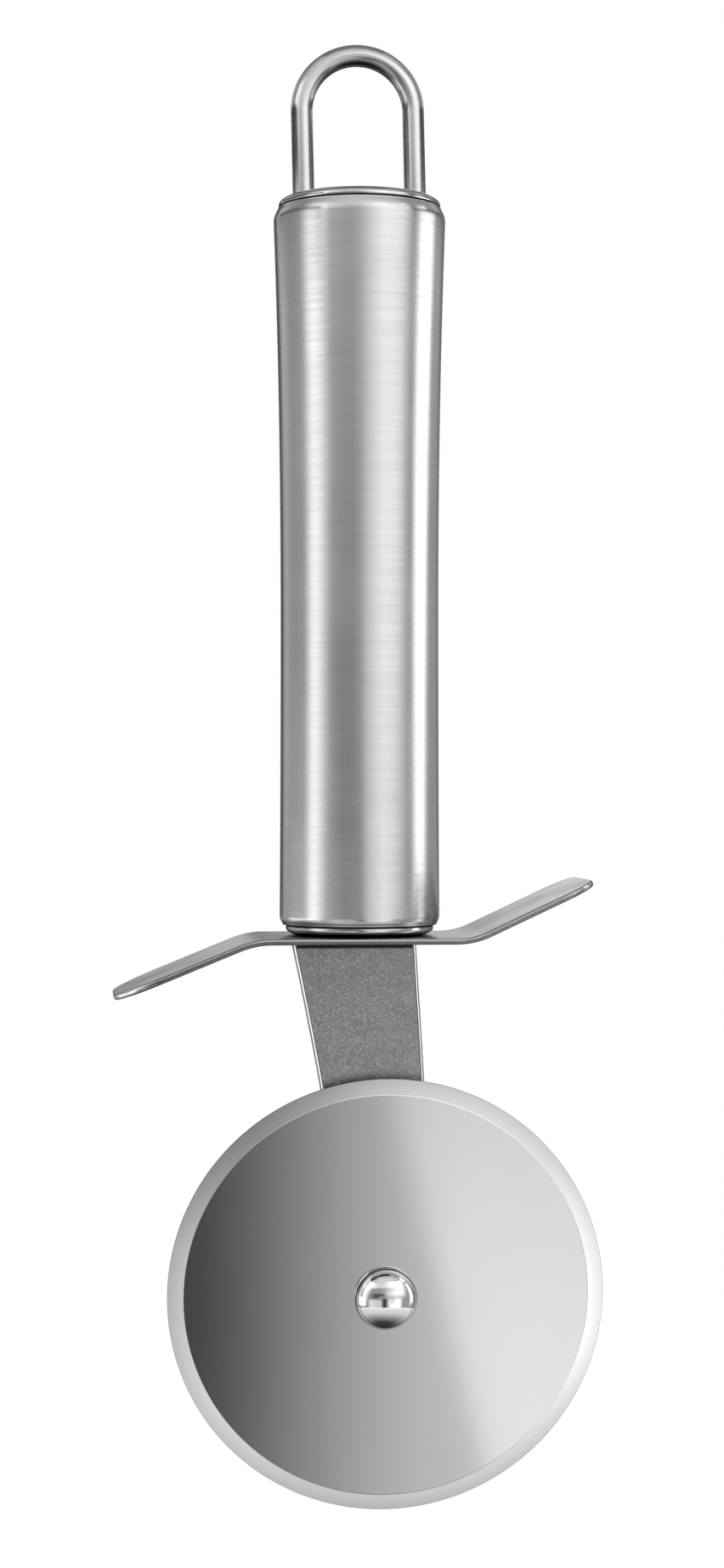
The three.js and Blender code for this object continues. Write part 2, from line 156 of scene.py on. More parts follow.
def object_from(name: str, vertices: Sequence[Sequence[float]], faces: Sequence[Sequence[int]]) -> Piece:
    """A smooth mesh object with outward faces.

    Args:
        name: Name of the piece.
        vertices: Points in metres.
        faces: Corners of each face.

    Returns:
        The new object, linked to the scene.
    """
    mesh = bpy.data.meshes.new(name)
    mesh.from_pydata([tuple(v) for v in vertices], [], [tuple(f) for f in faces])
    shape = bmesh.new()
    shape.from_mesh(mesh)
    bmesh.ops.recalc_face_normals(shape, faces=shape.faces)
    shape.to_mesh(mesh)
    shape.free()
    mesh.shade_smooth()
    piece = bpy.data.objects.new(name, mesh)
    bpy.context.scene.collection.objects.link(piece)
    return piece


def lathe(name: str, profile: Profile, sides: int, closed: bool = False) -> Piece:
    """A turned piece about its own Z axis.

    Args:
        name: Name of the piece.
        profile: Radius and height of each point. A radius of 0 is a single point on the axis.
        sides: How many sides go round.
        closed: Whether the last point joins the first one, as on a ring.

    Returns:
        The turned object.
    """
    vertices: list[Point] = []
    rings: list[list[int]] = []
    turns = circle(sides)
    for radius, height in profile:
        start = len(vertices)
        if radius > 0:
            vertices += [(radius * x, radius * y, height) for x, y in turns]
            rings.append(list(range(start, start + sides)))
        else:
            vertices.append((0.0, 0.0, height))
            rings.append([start] * sides)
    pairs = list(zip(rings, rings[1:]))
    if closed:
        pairs.append((rings[-1], rings[0]))
    faces = [face for low, high in pairs for face in ring_faces(low, high)]
    return object_from(name, vertices, faces)


def combine(piece: Piece, tool: Piece, work: Work) -> None:
    """Cuts one closed piece with another, or joins the two. The other one is used up.

    Args:
        piece: What is changed, with its materials on.
        tool: What changes it.
        work: Whether it is cut or joined.
    """
    change = piece.modifiers.new(work.name, "BOOLEAN")
    change.operation = work.value
    change.solver = "EXACT"
    change.object = tool
    depsgraph = bpy.context.evaluated_depsgraph_get()
    fresh = bpy.data.meshes.new_from_object(piece.evaluated_get(depsgraph))
    piece.modifiers.clear()
    piece.data = fresh
    bpy.data.objects.remove(tool)


def smooth_by_angle(piece: Piece, degrees: float) -> None:
    """Shades a piece smooth, with creases where faces meet at more than an angle."""
    piece.data.shade_smooth()
    piece.data.set_sharp_from_angle(angle=math.radians(degrees))


def dress(piece: Piece, *materials: Material) -> None:
    """Gives a piece its materials, in place of any that it had.

    Args:
        piece: The piece.
        materials: Its materials, in the order of its faces' material indices.
    """
    if piece.data.materials:
        piece.data.materials.clear()
    for material in materials:
        piece.data.materials.append(material)


def paint_faces(piece: Piece, index: int, chosen: Callable[[Vector], bool]) -> None:
    """Gives the faces whose centre passes a test the piece's material of that index.

    Args:
        piece: The piece to paint.
        index: Place of the material among the piece's materials.
        chosen: The test, in the piece's own frame.
    """
    for polygon in piece.data.polygons:
        if chosen(polygon.center):
            polygon.material_index = index


def settle(piece: Piece, body: Body, node: str) -> None:
    """Ties a finished piece to its body and the construction node that it stands for.

    Args:
        piece: The finished piece.
        body: The body that it moves with.
        node: Name of the construction node that it replaces.
    """
    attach(piece, body.value)
    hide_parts(node)
    LOG.info("%s: %d faces on %s", piece.name, len(piece.data.polygons), body.value)


# Plates with rounded edges


@dataclass
class Plate:
    """A plate in its flat state: rows across it from a left edge to a right edge, with rounded edges.

    Attributes:
        name: Name of the piece.
        left: Points of the left edge, in order along the plate.
        right: Points of the right edge, one for each on the left.
        sheet: Thickness.
        edge: Radius of the rounded edges.
        edge_finish: Material index of the edge's flat and of each rounding step, from the outside in.
        under_finish: The same for the lower side, where it differs.
        columns: How many faces lie across the plate.
        fullness: 1 for a round edge, 0 for a flat bevel.
    """

    name: str
    left: Profile
    right: Profile
    sheet: float
    edge: float
    edge_finish: tuple[int, ...]
    under_finish: tuple[int, ...] = ()
    columns: int = 16
    fullness: float = 1.0

    @property
    def edge_steps(self) -> int:
        """How many faces round each edge."""
        return len(self.edge_finish) - 1

    def loop(self) -> list[tuple[int, int]]:
        """The row and column of each point on the outline.

        Returns:
            The places in order round the plate.
        """
        last = len(self.left) - 1
        out = [(i, 0) for i in range(last + 1)]
        out += [(last, m) for m in range(1, self.columns)]
        out += [(i, self.columns) for i in range(last, -1, -1)]
        out += [(0, m) for m in range(self.columns - 1, 0, -1)]
        return out

    def flat_point(self, row: int, column: int) -> Vector:
        """A point on the plate before its edges are set in."""
        return Vector(self.left[row]).lerp(Vector(self.right[row]), column / self.columns)

    def inset(self, outline: list[Vector], distance: float) -> list[Vector]:
        """The outline moved inwards.

        Args:
            outline: Points round the plate.
            distance: How far they move.

        Returns:
            The moved points.
        """
        area = sum(a.x * b.y - a.y * b.x for a, b in zip(outline, outline[1:] + outline[:1]))
        side = 1.0 if area > 0 else -1.0
        least_squareness = 0.5
        moved = []
        for i, point in enumerate(outline):
            before = (point - outline[i - 1]).normalized()
            after = (outline[(i + 1) % len(outline)] - point).normalized()
            normal = Vector((-before.y - after.y, before.x + after.x)).normalized() * side
            squareness = max(least_squareness, normal.dot(Vector((-after.y, after.x)) * side))
            moved.append(point + normal * (distance / squareness))
        return moved

    def edge_ring(self, outline: list[Vector], step: int) -> tuple[list[Vector], float]:
        """One ring of points on the rounded edge.

        Args:
            outline: Points round the plate.
            step: Which ring it is, from the outside in.

        Returns:
            The ring's flat points and its height above the middle of the sheet.
        """
        share = step / self.edge_steps
        turn = math.pi / 2 * share
        inwards = self.edge * (share + (1 - math.cos(turn) - share) * self.fullness)
        rise = share + (math.sin(turn) - share) * self.fullness
        return self.inset(outline, inwards), self.sheet / 2 - self.edge * (1 - rise)

    def build(self, bend: Callable[[float, float, float], Vector]) -> Piece:
        """The plate as a closed mesh.

        Args:
            bend: Where a flat point and its height above the middle of the sheet go in space.

        Returns:
            The plate, with the faces of its edges painted.
        """
        rows = len(self.left)
        loop = self.loop()
        outline = [self.flat_point(i, m) for i, m in loop]
        vertices: list[Vector] = []
        rings: dict[tuple[int, int], list[int]] = {}
        for side in (1, -1):
            for step in range(self.edge_steps + 1):
                ring, height = self.edge_ring(outline, step)
                rings[side, step] = list(range(len(vertices), len(vertices) + len(ring)))
                vertices += [bend(p.x, p.y, side * height) for p in ring]
        bands = [(rings[1, 0], rings[-1, 0])]
        bands += [(rings[s, k], rings[s, k + 1]) for k in range(self.edge_steps) for s in (1, -1)]
        faces = [face for outer, inner in bands for face in ring_faces(outer, inner)]
        edge_count = len(faces)
        flat = dict(zip(loop, self.inset(outline, self.edge)))
        for side in (1, -1):
            index = dict(zip(loop, rings[side, self.edge_steps]))
            for i in range(1, rows - 1):
                for m in range(1, self.columns):
                    p = flat[i, 0].lerp(flat[i, self.columns], m / self.columns)
                    index[i, m] = len(vertices)
                    vertices.append(bend(p.x, p.y, side * self.sheet / 2))
            for i in range(rows - 1):
                for m in range(self.columns):
                    faces.append([index[i, m], index[i + 1, m], index[i + 1, m + 1], index[i, m + 1]])
        piece = object_from(self.name, vertices, faces)
        for number, polygon in enumerate(piece.data.polygons[:edge_count]):
            band = number // len(loop)
            steps = self.edge_finish if band % 2 else self.under_finish or self.edge_finish
            polygon.material_index = steps[(band + 1) // 2]
        return piece


# Procedural finishes


def grey(level: float) -> Colour:
    """A neutral colour."""
    return (level, level, level)


class Nodes:
    """A small helper that adds nodes to one material and links them.

    Attributes:
        CLOUD_MIDDLE: Where most of a cloudy value lies.
        RANGE_INPUTS: Inputs of a range node: the value, the range it comes from and the one it goes to.
        MIX_INPUTS: Inputs of a mix node for colours: the share and the two colours.
        MIX_OUTPUT: Its output for colours.
    """

    CLOUD_MIDDLE: Span = (0.3, 0.7)
    RANGE_INPUTS = ("Value", "From Min", "From Max", "To Min", "To Max")
    MIX_INPUTS = (0, 6, 7)
    MIX_OUTPUT = 2

    def __init__(self, name: str) -> None:
        """Starts a material with a metal shader and its object coordinates.

        Args:
            name: Name of the material.
        """
        self.material = bpy.data.materials.new(name)
        self.material.use_nodes = True
        self.tree = self.material.node_tree
        self.shader = self.tree.nodes["Principled BSDF"]
        self.where = self.made("ShaderNodeTexCoord", "Object", {})
        self.set("Metallic", 1.0)

    def feed(self, socket: Socket, value: object) -> None:
        """Sets a socket to a plain value, or links it to another socket.

        Args:
            socket: The socket that is fed.
            value: A plain value or a socket.
        """
        if isinstance(value, Socket):
            self.tree.links.new(value, socket)
        else:
            socket.default_value = value

    def set(self, name: str, value: object) -> None:
        """Sets or links one of the shader's own inputs."""
        self.feed(self.shader.inputs[name], value)

    def made(self, kind: str, output: Place, inputs: dict[Place, object], **settings: object) -> Socket:
        """A new node with its settings and its inputs.

        Args:
            kind: Type name of the node.
            output: Which of its outputs is wanted.
            inputs: Plain values or sockets for some of its inputs.
            settings: Values for some of its own settings.

        Returns:
            The output.
        """
        node = self.tree.nodes.new(kind)
        for name, setting in settings.items():
            setattr(node, name, setting)
        for place, value in inputs.items():
            self.feed(node.inputs[place], value)
        return node.outputs[output]

    def part(self, vector: Socket, axis: str) -> Socket:
        """One axis of a vector."""
        return self.made("ShaderNodeSeparateXYZ", axis, {0: vector})

    def facing(self, axis: str) -> Socket:
        """How far the surface faces along one axis of its object."""
        return self.part(self.made("ShaderNodeTexCoord", "Normal", {}), axis)

    def stretched(self, scale: Point) -> Socket:
        """Object coordinates with a scale of their own along each axis."""
        return self.made("ShaderNodeMapping", "Vector", {"Vector": self.where, "Scale": scale})

    def noise(
        self,
        vector: Socket,
        scale: float = 1.0,
        detail: float = 2.0,
        roughness: float = 0.5,
        distortion: float = 0.0,
    ) -> Socket:
        """A cloudy value from 0 to 1.

        Args:
            vector: Where it is read.
            scale: How many clouds fit in a unit.
            detail: How many finer layers lie on it.
            roughness: How strong those layers are.
            distortion: How far it is warped.

        Returns:
            The value.
        """
        shape = {"Scale": scale, "Detail": detail, "Roughness": roughness, "Distortion": distortion}
        return self.made("ShaderNodeTexNoise", "Fac", {"Vector": vector, **shape})

    def math(self, operation: str, first: Value, second: Value = 0.0) -> Socket:
        """One sum on one or two values."""
        return self.made("ShaderNodeMath", 0, {0: first, 1: second}, operation=operation)

    def total(self, *values: Value) -> Value:
        """Several values added up."""
        return reduce(lambda first, second: self.math("ADD", first, second), values)

    def product(self, *values: Value) -> Value:
        """Several values multiplied."""
        return reduce(lambda first, second: self.math("MULTIPLY", first, second), values)

    def blend(self, first: Value, second: Value, share: float) -> Value:
        """A mix of two values, with a share of the first."""
        return self.total(self.product(first, share), self.product(second, 1 - share))

    def spread(self, value: Value, source: Span, target: Span) -> Socket:
        """A value moved from one range to another, smoothly and held at both ends."""
        inputs = dict(zip(self.RANGE_INPUTS, (value, *source, *target)))
        return self.made("ShaderNodeMapRange", "Result", inputs, interpolation_type="SMOOTHSTEP")

    def evened(self, cloud: Value, low: float, high: float) -> Socket:
        """The middle of a cloudy value, where most of it lies, spread over a range."""
        return self.spread(cloud, self.CLOUD_MIDDLE, (low, high))

    def mix(self, share: Value, first: object, second: object, blend: str) -> Socket:
        """A share of the second colour laid on the first."""
        inputs = dict(zip(self.MIX_INPUTS, (share, first, second)))
        return self.made("ShaderNodeMix", self.MIX_OUTPUT, inputs, data_type="RGBA", blend_type=blend)

    def tint(self, share: Value, dark: Colour, light: Colour) -> Socket:
        """A colour between two others."""
        return self.mix(share, (*dark, 1.0), (*light, 1.0), "MIX")

    def steel(self, share: Value, level: float, contrast: float) -> Socket:
        """A grey that wanders about a level by a contrast to each side."""
        return self.tint(share, grey(level - contrast), grey(level + contrast))

    def shaded(self, colour: Socket, share: Socket) -> Socket:
        """A colour times a share of itself."""
        return self.mix(1.0, colour, share, "MULTIPLY")

    def bump(self, height: Value, distance: float) -> None:
        """A relief on the shader's normal, which a height of 1 raises by a distance."""
        self.set("Normal", self.made("ShaderNodeBump", "Normal", {"Height": height, "Distance": distance}))


@dataclass(frozen=True)
class BrushedTube:
    """Steel brushed round the girth: fine level lines, a blur up and down, faint scuffs.

    Attributes:
        level: Brightness of the steel.
        contrast: How far the lines part from it.
        roughness: Its blur, and unrest how far that wanders.
        anisotropy: How much longer the blur is across the lines.
        quarter_turn: Turns the blur to run up and down.
        lines: Scales of the fine lines along X, Y and Z, and long_lines, scuffs and ripples of the others.
        clouds: Scale of the clouds in the roughness.
        scuff_start: Where a cloudy value becomes a scuff, and scuff_light how light it is.
        relief: Height of the lines.
        ripple: How many times higher the ripples are.
        underside: How much of its brightness a face keeps that looks down, as painted shade, over a range of
            slopes.
    """

    level: float = 0.56
    contrast: float = 0.03
    roughness: float = 0.25
    unrest: float = 0.03
    anisotropy: float = 0.7
    quarter_turn: float = 0.25
    lines: Point = (90.0, 90.0, 5200.0)
    long_lines: Point = (25.0, 25.0, 1500.0)
    scuffs: Point = (160.0, 160.0, 900.0)
    ripples: Point = (140.0, 140.0, 800.0)
    clouds: float = 55.0
    scuff_start: Span = (0.7, 0.76)
    scuff_light: float = 0.5
    relief: float = 0.2e-5
    ripple: float = 9.0
    underside: float = 0.4
    underside_slopes: Span = (-0.75, -0.05)

    def material(self) -> Material:
        """Makes the material, with painted shade on the faces that look down.

        Returns:
            The material.
        """
        n = Nodes("brushed_tube")
        lines = n.noise(n.stretched(self.lines), detail=3.0, roughness=0.6)
        long_lines = n.noise(n.stretched(self.long_lines), roughness=0.6)
        scuffs = n.noise(n.stretched(self.scuffs), distortion=0.8)
        ripples = n.noise(n.stretched(self.ripples))
        clouds = n.noise(n.where, self.clouds, detail=3.0)
        grain = n.blend(lines, long_lines, share=0.5)
        # The lines and the scuffs here are real wear.
        wear_and_highlight = n.total(n.evened(grain, 0.0, 1.0), n.spread(scuffs, self.scuff_start, (0.0, self.scuff_light)))
        # Painted shade on the faces that look down.
        underside_shade = n.spread(n.facing("Z"), self.underside_slopes, (self.underside, 1.0))
        n.set("Base Color", n.shaded(n.steel(wear_and_highlight, self.level, self.contrast), underside_shade))
        cloudy = n.evened(clouds, -self.unrest, self.unrest)
        n.set("Roughness", n.total(cloudy, n.evened(grain, self.unrest, -self.unrest), self.roughness))
        n.set("Anisotropic", self.anisotropy)
        n.set("Anisotropic Rotation", self.quarter_turn)
        round_axis = n.made("ShaderNodeTangent", "Tangent", {}, direction_type="RADIAL", axis="Z")
        n.set("Tangent", round_axis)
        n.bump(n.total(grain, n.product(ripples, self.ripple)), self.relief)
        return n.material


@dataclass(frozen=True)
class PolishedSteel:
    """Steel polished on a wheel: near mirror, with a soft haze and a few pin marks.

    Attributes:
        name: Name of the material.
        level: Brightness of the steel, and dull the share of it in the clouds.
        roughness: Its blur, and haze how much the clouds add to it.
        marks: How strong the pin marks are, and mark_start where a cloudy value becomes one.
        clouds: Scale of the clouds, and pins and fine those of the marks and of the relief.
        relief: Height of the fine relief.
        underside: How much of its brightness a face keeps that looks down, as painted shade, over a range of
            slopes.
    """

    name: str
    level: float = 0.58
    dull: float = 0.93
    roughness: float = 0.14
    haze: float = 0.05
    marks: float = 0.0
    mark_start: Span = (0.74, 0.8)
    clouds: float = 160.0
    pins: float = 900.0
    fine: float = 2600.0
    relief: float = 0.1e-6
    underside: float = 1.0
    underside_slopes: Span = (-0.8, 0.0)

    def material(self) -> Material:
        """Makes the material, with painted shade on the faces that look down.

        Returns:
            The material.
        """
        n = Nodes(self.name)
        # Painted shade on the faces that look down.
        underside_shade = n.spread(n.facing("Z"), self.underside_slopes, (self.underside, 1.0))
        clouds = n.noise(n.where, self.clouds, detail=4.0, roughness=0.6)
        pins = n.spread(n.noise(n.where, self.pins, detail=1.0), self.mark_start, (0.0, self.marks))
        shade = n.math("SUBTRACT", n.evened(clouds, 0.0, 1.0), pins)
        n.set("Base Color", n.shaded(n.tint(shade, grey(self.level * self.dull), grey(self.level)), underside_shade))
        n.set("Roughness", n.total(n.evened(clouds, 0.0, self.haze), pins, self.roughness))
        n.bump(n.noise(n.where, self.fine), self.relief)
        return n.material


@dataclass(frozen=True)
class SatinSteel:
    """Satin sheet: a fine grain along one axis over soft clouds, with a painted highlight where it faces -X.

    Attributes:
        name: Name of the material.
        level: Brightness of the steel.
        contrast: How far the grain parts from it, over grain_range of the grain.
        roughness: Its blur.
        grain: Scales of the grain along X, Y and Z, and speckle and clouds those of the others.
        grain_share: How much of the mix is grain, and the rest speckle.
        cloud_unrest: How far the clouds move the roughness, and grain_unrest how far the grain does.
        relief: Height of the grain.
        wear_and_highlight: How much brighter the faces towards -X are, as a painted highlight, over a range
            of slopes.
    """

    name: str
    level: float = 0.56
    contrast: float = 0.04
    roughness: float = 0.32
    grain: Point = (160.0, 3000.0, 3000.0)
    speckle: float = 2200.0
    clouds: float = 90.0
    grain_share: float = 0.6
    grain_range: Span = (0.32, 0.68)
    cloud_unrest: float = 0.05
    grain_unrest: float = 0.03
    relief: float = 0.4e-5
    wear_and_highlight: float = 0.0
    highlight_slopes: Span = (-0.7, -0.2)

    def material(self) -> Material:
        """Makes the material.

        Returns:
            The material.
        """
        n = Nodes(self.name)
        grain = n.noise(n.stretched(self.grain), detail=3.0, roughness=0.6)
        speckle = n.noise(n.where, self.speckle, detail=3.0, roughness=0.6)
        clouds = n.noise(n.where, self.clouds, detail=3.0)
        mixed = n.blend(grain, speckle, self.grain_share)
        share = n.spread(mixed, self.grain_range, (0.0, 1.0))
        # Painted highlight on the faces that look towards -X.
        wear_and_highlight = n.spread(n.facing("X"), self.highlight_slopes, (1.0 + self.wear_and_highlight, 1.0))
        n.set("Base Color", n.shaded(n.steel(share, self.level, self.contrast), wear_and_highlight))
        rough = n.total(n.evened(clouds, -self.cloud_unrest, self.cloud_unrest), self.roughness)
        n.set("Roughness", n.total(rough, n.evened(mixed, self.grain_unrest, -self.grain_unrest)))
        n.bump(mixed, self.relief)
        return n.material


@dataclass(frozen=True)
class TumbledSteel:
    """Sheet tumbled with stones: dull grey with short light worm tracks all over, and painted shade in the
    corner under the guard.

    Attributes:
        painted_shade_top: Height of the painted shade in the corner under the guard.
        painted_shade_height: How far down that shade reaches, and painted_shade_tone what is left of the
            steel there.
        level: Brightness of the steel, and track that of the tracks.
        track_share: How much of that the tracks get, and mottle_share how much the mottling does.
        roughness: Its blur, polish how much the tracks take from it, and unrest how far it wanders.
        coarse: Scale and width of the coarse tracks, and fine of the fine ones.
        gap_scale: Scale of the gaps against that of their tracks, and gaps where a cloudy value is one.
        mottle: Scale of the mottling.
        relief: Height of the tracks.
    """

    painted_shade_top: float
    painted_shade_height: float = 0.8 * MM
    painted_shade_tone: float = 0.06
    level: float = 0.235
    track: float = 0.46
    track_share: float = 0.7
    mottle_share: float = 0.14
    roughness: float = 0.36
    polish: float = 0.16
    unrest: float = 0.04
    coarse: Span = (1600.0, 0.035)
    fine: Span = (2500.0, 0.05)
    gap_scale: float = 1.6
    gaps: Span = (0.36, 0.5)
    mottle: float = 420.0
    relief: float = 1.2e-5

    def tracks(self, n: Nodes, scale: float, width: float) -> Value:
        """Thin lines along the middle height of a cloudy value, broken up by a second one.

        Args:
            n: The material's nodes.
            scale: Scale of the cloudy value.
            width: How far from the middle height a line reaches.

        Returns:
            1 in the middle of a line, 0 between the lines.
        """
        cloud = n.noise(n.where, scale, detail=1.0, distortion=0.9)
        line = n.spread(n.math("ABSOLUTE", n.math("SUBTRACT", cloud, 0.5)), (0.0, width), (1.0, 0.0))
        gaps = n.spread(n.noise(n.where, scale * self.gap_scale, detail=1.0), self.gaps, (0.0, 1.0))
        return n.product(line, gaps)

    def material(self) -> Material:
        """Makes the material.

        Returns:
            The material.
        """
        n = Nodes("tumbled_shank")
        worms = n.math("MAXIMUM", self.tracks(n, *self.coarse), self.tracks(n, *self.fine))
        mottle = n.noise(n.where, self.mottle, detail=4.0, roughness=0.6)
        share = n.total(n.product(worms, self.track_share), n.evened(mottle, 0.0, self.mottle_share))
        # Painted shade: the steel darkens towards the corner under the guard's overhang.
        painted_shade_span = (self.painted_shade_top - self.painted_shade_height * 1.5, self.painted_shade_top - self.painted_shade_height)
        corner = n.spread(n.part(n.where, "Z"), painted_shade_span, (1.0, self.painted_shade_tone))
        n.set("Base Color", n.shaded(n.tint(share, grey(self.level), grey(self.track)), corner))
        polished = n.spread(worms, (0.0, 1.0), (0.0, -self.polish))
        n.set("Roughness", n.total(polished, n.evened(mottle, -self.unrest, self.unrest), self.roughness))
        n.bump(worms, self.relief)
        return n.material


@dataclass(frozen=True)
class TurnedSteel:
    """Steel ground on a lathe: fine rings about the piece's own Z axis, with painted shade towards the rim.

    Attributes:
        name: Name of the material.
        level: Brightness of the steel.
        contrast: How far the rings part from it.
        roughness: Its blur, and unrest how far that wanders.
        outer: How much of its brightness the painted shade leaves at the rim, and shade_radius where that
            starts and ends.
        rings: Scale of the rings, and clouds that of the clouds.
        relief: Height of the rings.
    """

    name: str
    level: float = 0.56
    contrast: float = 0.02
    roughness: float = 0.065
    unrest: float = 0.02
    outer: float = 1.0
    shade_radius: Span = (30.2 * MM, 32.4 * MM)
    rings: float = 2600.0
    clouds: float = 70.0
    relief: float = 0.1e-6

    def material(self) -> Material:
        """Makes the material.

        Returns:
            The material.
        """
        n = Nodes(self.name)
        flat = n.made("ShaderNodeVectorMath", 0, {0: n.where, 1: (1.0, 1.0, 0.0)}, operation="MULTIPLY")
        radius = n.made("ShaderNodeVectorMath", "Value", {0: flat}, operation="LENGTH")
        line = n.made("ShaderNodeCombineXYZ", 0, {"X": radius})
        rings = n.noise(line, self.rings, detail=3.0, roughness=0.6)
        clouds = n.noise(n.where, self.clouds, detail=3.0)
        mixed = n.blend(rings, clouds, share=0.5)
        # Painted shade towards the rim.
        dull = n.spread(radius, self.shade_radius, (1.0, self.outer))
        n.set("Base Color", n.shaded(n.steel(n.evened(mixed, 0.0, 1.0), self.level, self.contrast), dull))
        n.set("Roughness", n.total(n.evened(mixed, -self.unrest, self.unrest), self.roughness))
        n.bump(rings, self.relief)
        return n.material


@dataclass(frozen=True)
class ShadeAndGrime:
    """Dark colour painted in seams, grooves and hollows: painted shade, with the grime that gathers there.

    Attributes:
        level: Its least brightness. The clouds in it are up to twice as bright.
        roughness: Its least blur, and unrest how much the clouds add to it.
        clouds: Scale of the clouds.
    """

    level: float = 0.035
    roughness: float = 0.55
    unrest: float = 0.2
    clouds: float = 500.0

    def material(self) -> Material:
        """Makes the material.

        Returns:
            The material.
        """
        n = Nodes("seam_grime")
        clouds = n.noise(n.where, self.clouds, detail=3.0)
        n.set("Base Color", n.tint(clouds, grey(self.level), grey(self.level * 2)))
        n.set("Roughness", n.total(n.product(clouds, self.unrest), self.roughness))
        return n.material


@dataclass(frozen=True)
class WeldMetal:
    """Bare weld metal: rippled, dark and straw coloured.

    Attributes:
        dark: Colour between the ripples.
        light: Colour on them.
        roughness: Blur between them and on them.
        ripples: Scale of the ripples.
        relief: Height of the ripples.
    """

    dark: Colour = (0.16, 0.14, 0.12)
    light: Colour = (0.42, 0.38, 0.33)
    roughness: Span = (0.65, 0.4)
    ripples: float = 1400.0
    relief: float = 1e-4

    def material(self) -> Material:
        """Makes the material.

        Returns:
            The material.
        """
        n = Nodes("weld_bead")
        ripples = n.noise(n.where, self.ripples, detail=3.0, roughness=0.6, distortion=0.6)
        n.set("Base Color", n.tint(ripples, self.dark, self.light))
        n.set("Roughness", n.spread(ripples, (0.2, 0.8), self.roughness))
        n.bump(ripples, self.relief)
        return n.material


@dataclass
class FinishSet:
    """The materials of the whole tool, made once."""

    tube: Material
    cap: Material
    wire: Material
    guard: Material
    guard_edge: Material
    shank: Material
    edge_line: Material
    edge_shade: Material
    wheel: Material
    bevel: Material
    rivet: Material
    washer: Material
    grime: Material
    weld: Material

    @classmethod
    def make(cls, shank_top: float) -> "FinishSet":
        """Makes every material.

        Args:
            shank_top: Height of the corner between the shank and the guard.

        Returns:
            The set.
        """
        return cls(
            # This and the next two get painted shade on the faces that look down.
            tube=BrushedTube().material(),
            cap=PolishedSteel("polished_cap", roughness=0.08, haze=0.03, underside=0.35).material(),
            wire=PolishedSteel("polished_wire", roughness=0.17, haze=0.03, underside=0.08).material(),
            guard=SatinSteel("satin_guard", level=0.44, roughness=0.24).material(),
            # A darker copy of the guard's steel: painted shade on its edges, with a painted highlight on
            # those that face -X.
            guard_edge=SatinSteel("guard_edge", level=0.22, roughness=0.2, wear_and_highlight=2.0).material(),
            shank=TumbledSteel(painted_shade_top=shank_top).material(),
            # Polished steel for one step of a rounded edge: a painted highlight line.
            edge_line=PolishedSteel("edge_line", level=0.62, roughness=0.12, marks=0.25).material(),
            edge_shade=SatinSteel("edge_shade", level=0.16, roughness=0.3).material(),
            wheel=TurnedSteel("satin_wheel", contrast=0.006, unrest=0.008).material(),
            # Its darker rim is painted shade.
            bevel=TurnedSteel("ground_bevel", 0.7, roughness=0.25, outer=0.85, relief=0.3e-5).material(),
            rivet=PolishedSteel("mirror_rivet", level=0.72, roughness=0.03, haze=0.02).material(),
            washer=SatinSteel("plain_washer", level=0.52, roughness=0.3).material(),
            # Painted shade, with grime, for seams, grooves and hollows.
            grime=ShadeAndGrime().material(),
            weld=WeldMetal().material(),
        )


# Sub-assemblies


@dataclass
class Tang:
    """The shank's upper end, which passes through the guard and the lower dish into the handle.

    Attributes:
        fit: Gap round it in its slots.
        relief: How far its faces lie inside the plate's.
        seat: How deep it is set into the plate.
        slot_reach: How far the slot's tool reaches above and below the dish's floor.
    """

    fit: float = 0.15 * MM
    relief: float = 0.05 * MM
    seat: float = 1 * MM
    slot_reach: float = 3 * MM
    dish_floor: float = field(init=False)
    half_width: float = field(init=False)
    half_sheet: float = field(init=False)
    top: float = field(init=False)

    def __post_init__(self) -> None:
        """Reads its width, its thickness and its top from the construction."""
        self.dish_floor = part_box("bottom_cap")[0].z
        upper = [v.co for v in frame["nodes"]["shank"].data.vertices if v.co.z > self.dish_floor]
        self.half_width, self.half_sheet, self.top = (max(v[axis] for v in upper) for axis in range(3))

    def bar(self, name: str, margin: float, bottom: float, top: float) -> Piece:
        """A block of its section.

        Args:
            name: Name of the block.
            margin: How far the block reaches past the section on every side.
            bottom: Height of its lower end.
            top: Height of its upper end.

        Returns:
            The closed block.
        """
        x, y = self.half_width + margin, self.half_sheet + margin
        corners = [(-x, -y), (x, -y), (x, y), (-x, y)]
        vertices = [(*corner, level) for level in (bottom, top) for corner in corners]
        low, high = range(4), range(4, 8)
        return object_from(name, vertices, [low, high, *ring_faces(low, high)])

    def slot(self) -> Piece:
        """The tool that cuts its slot in the guard and in the lower dish."""
        low, high = self.dish_floor - self.slot_reach, self.dish_floor + self.slot_reach
        return self.bar("tang_slot", self.fit, low, high)

    def blade(self, plate_top: float) -> Piece:
        """The tang itself, set into a plate whose upper edge lies at a height."""
        return self.bar("tang_blade", -self.relief, plate_top - self.seat, self.top)


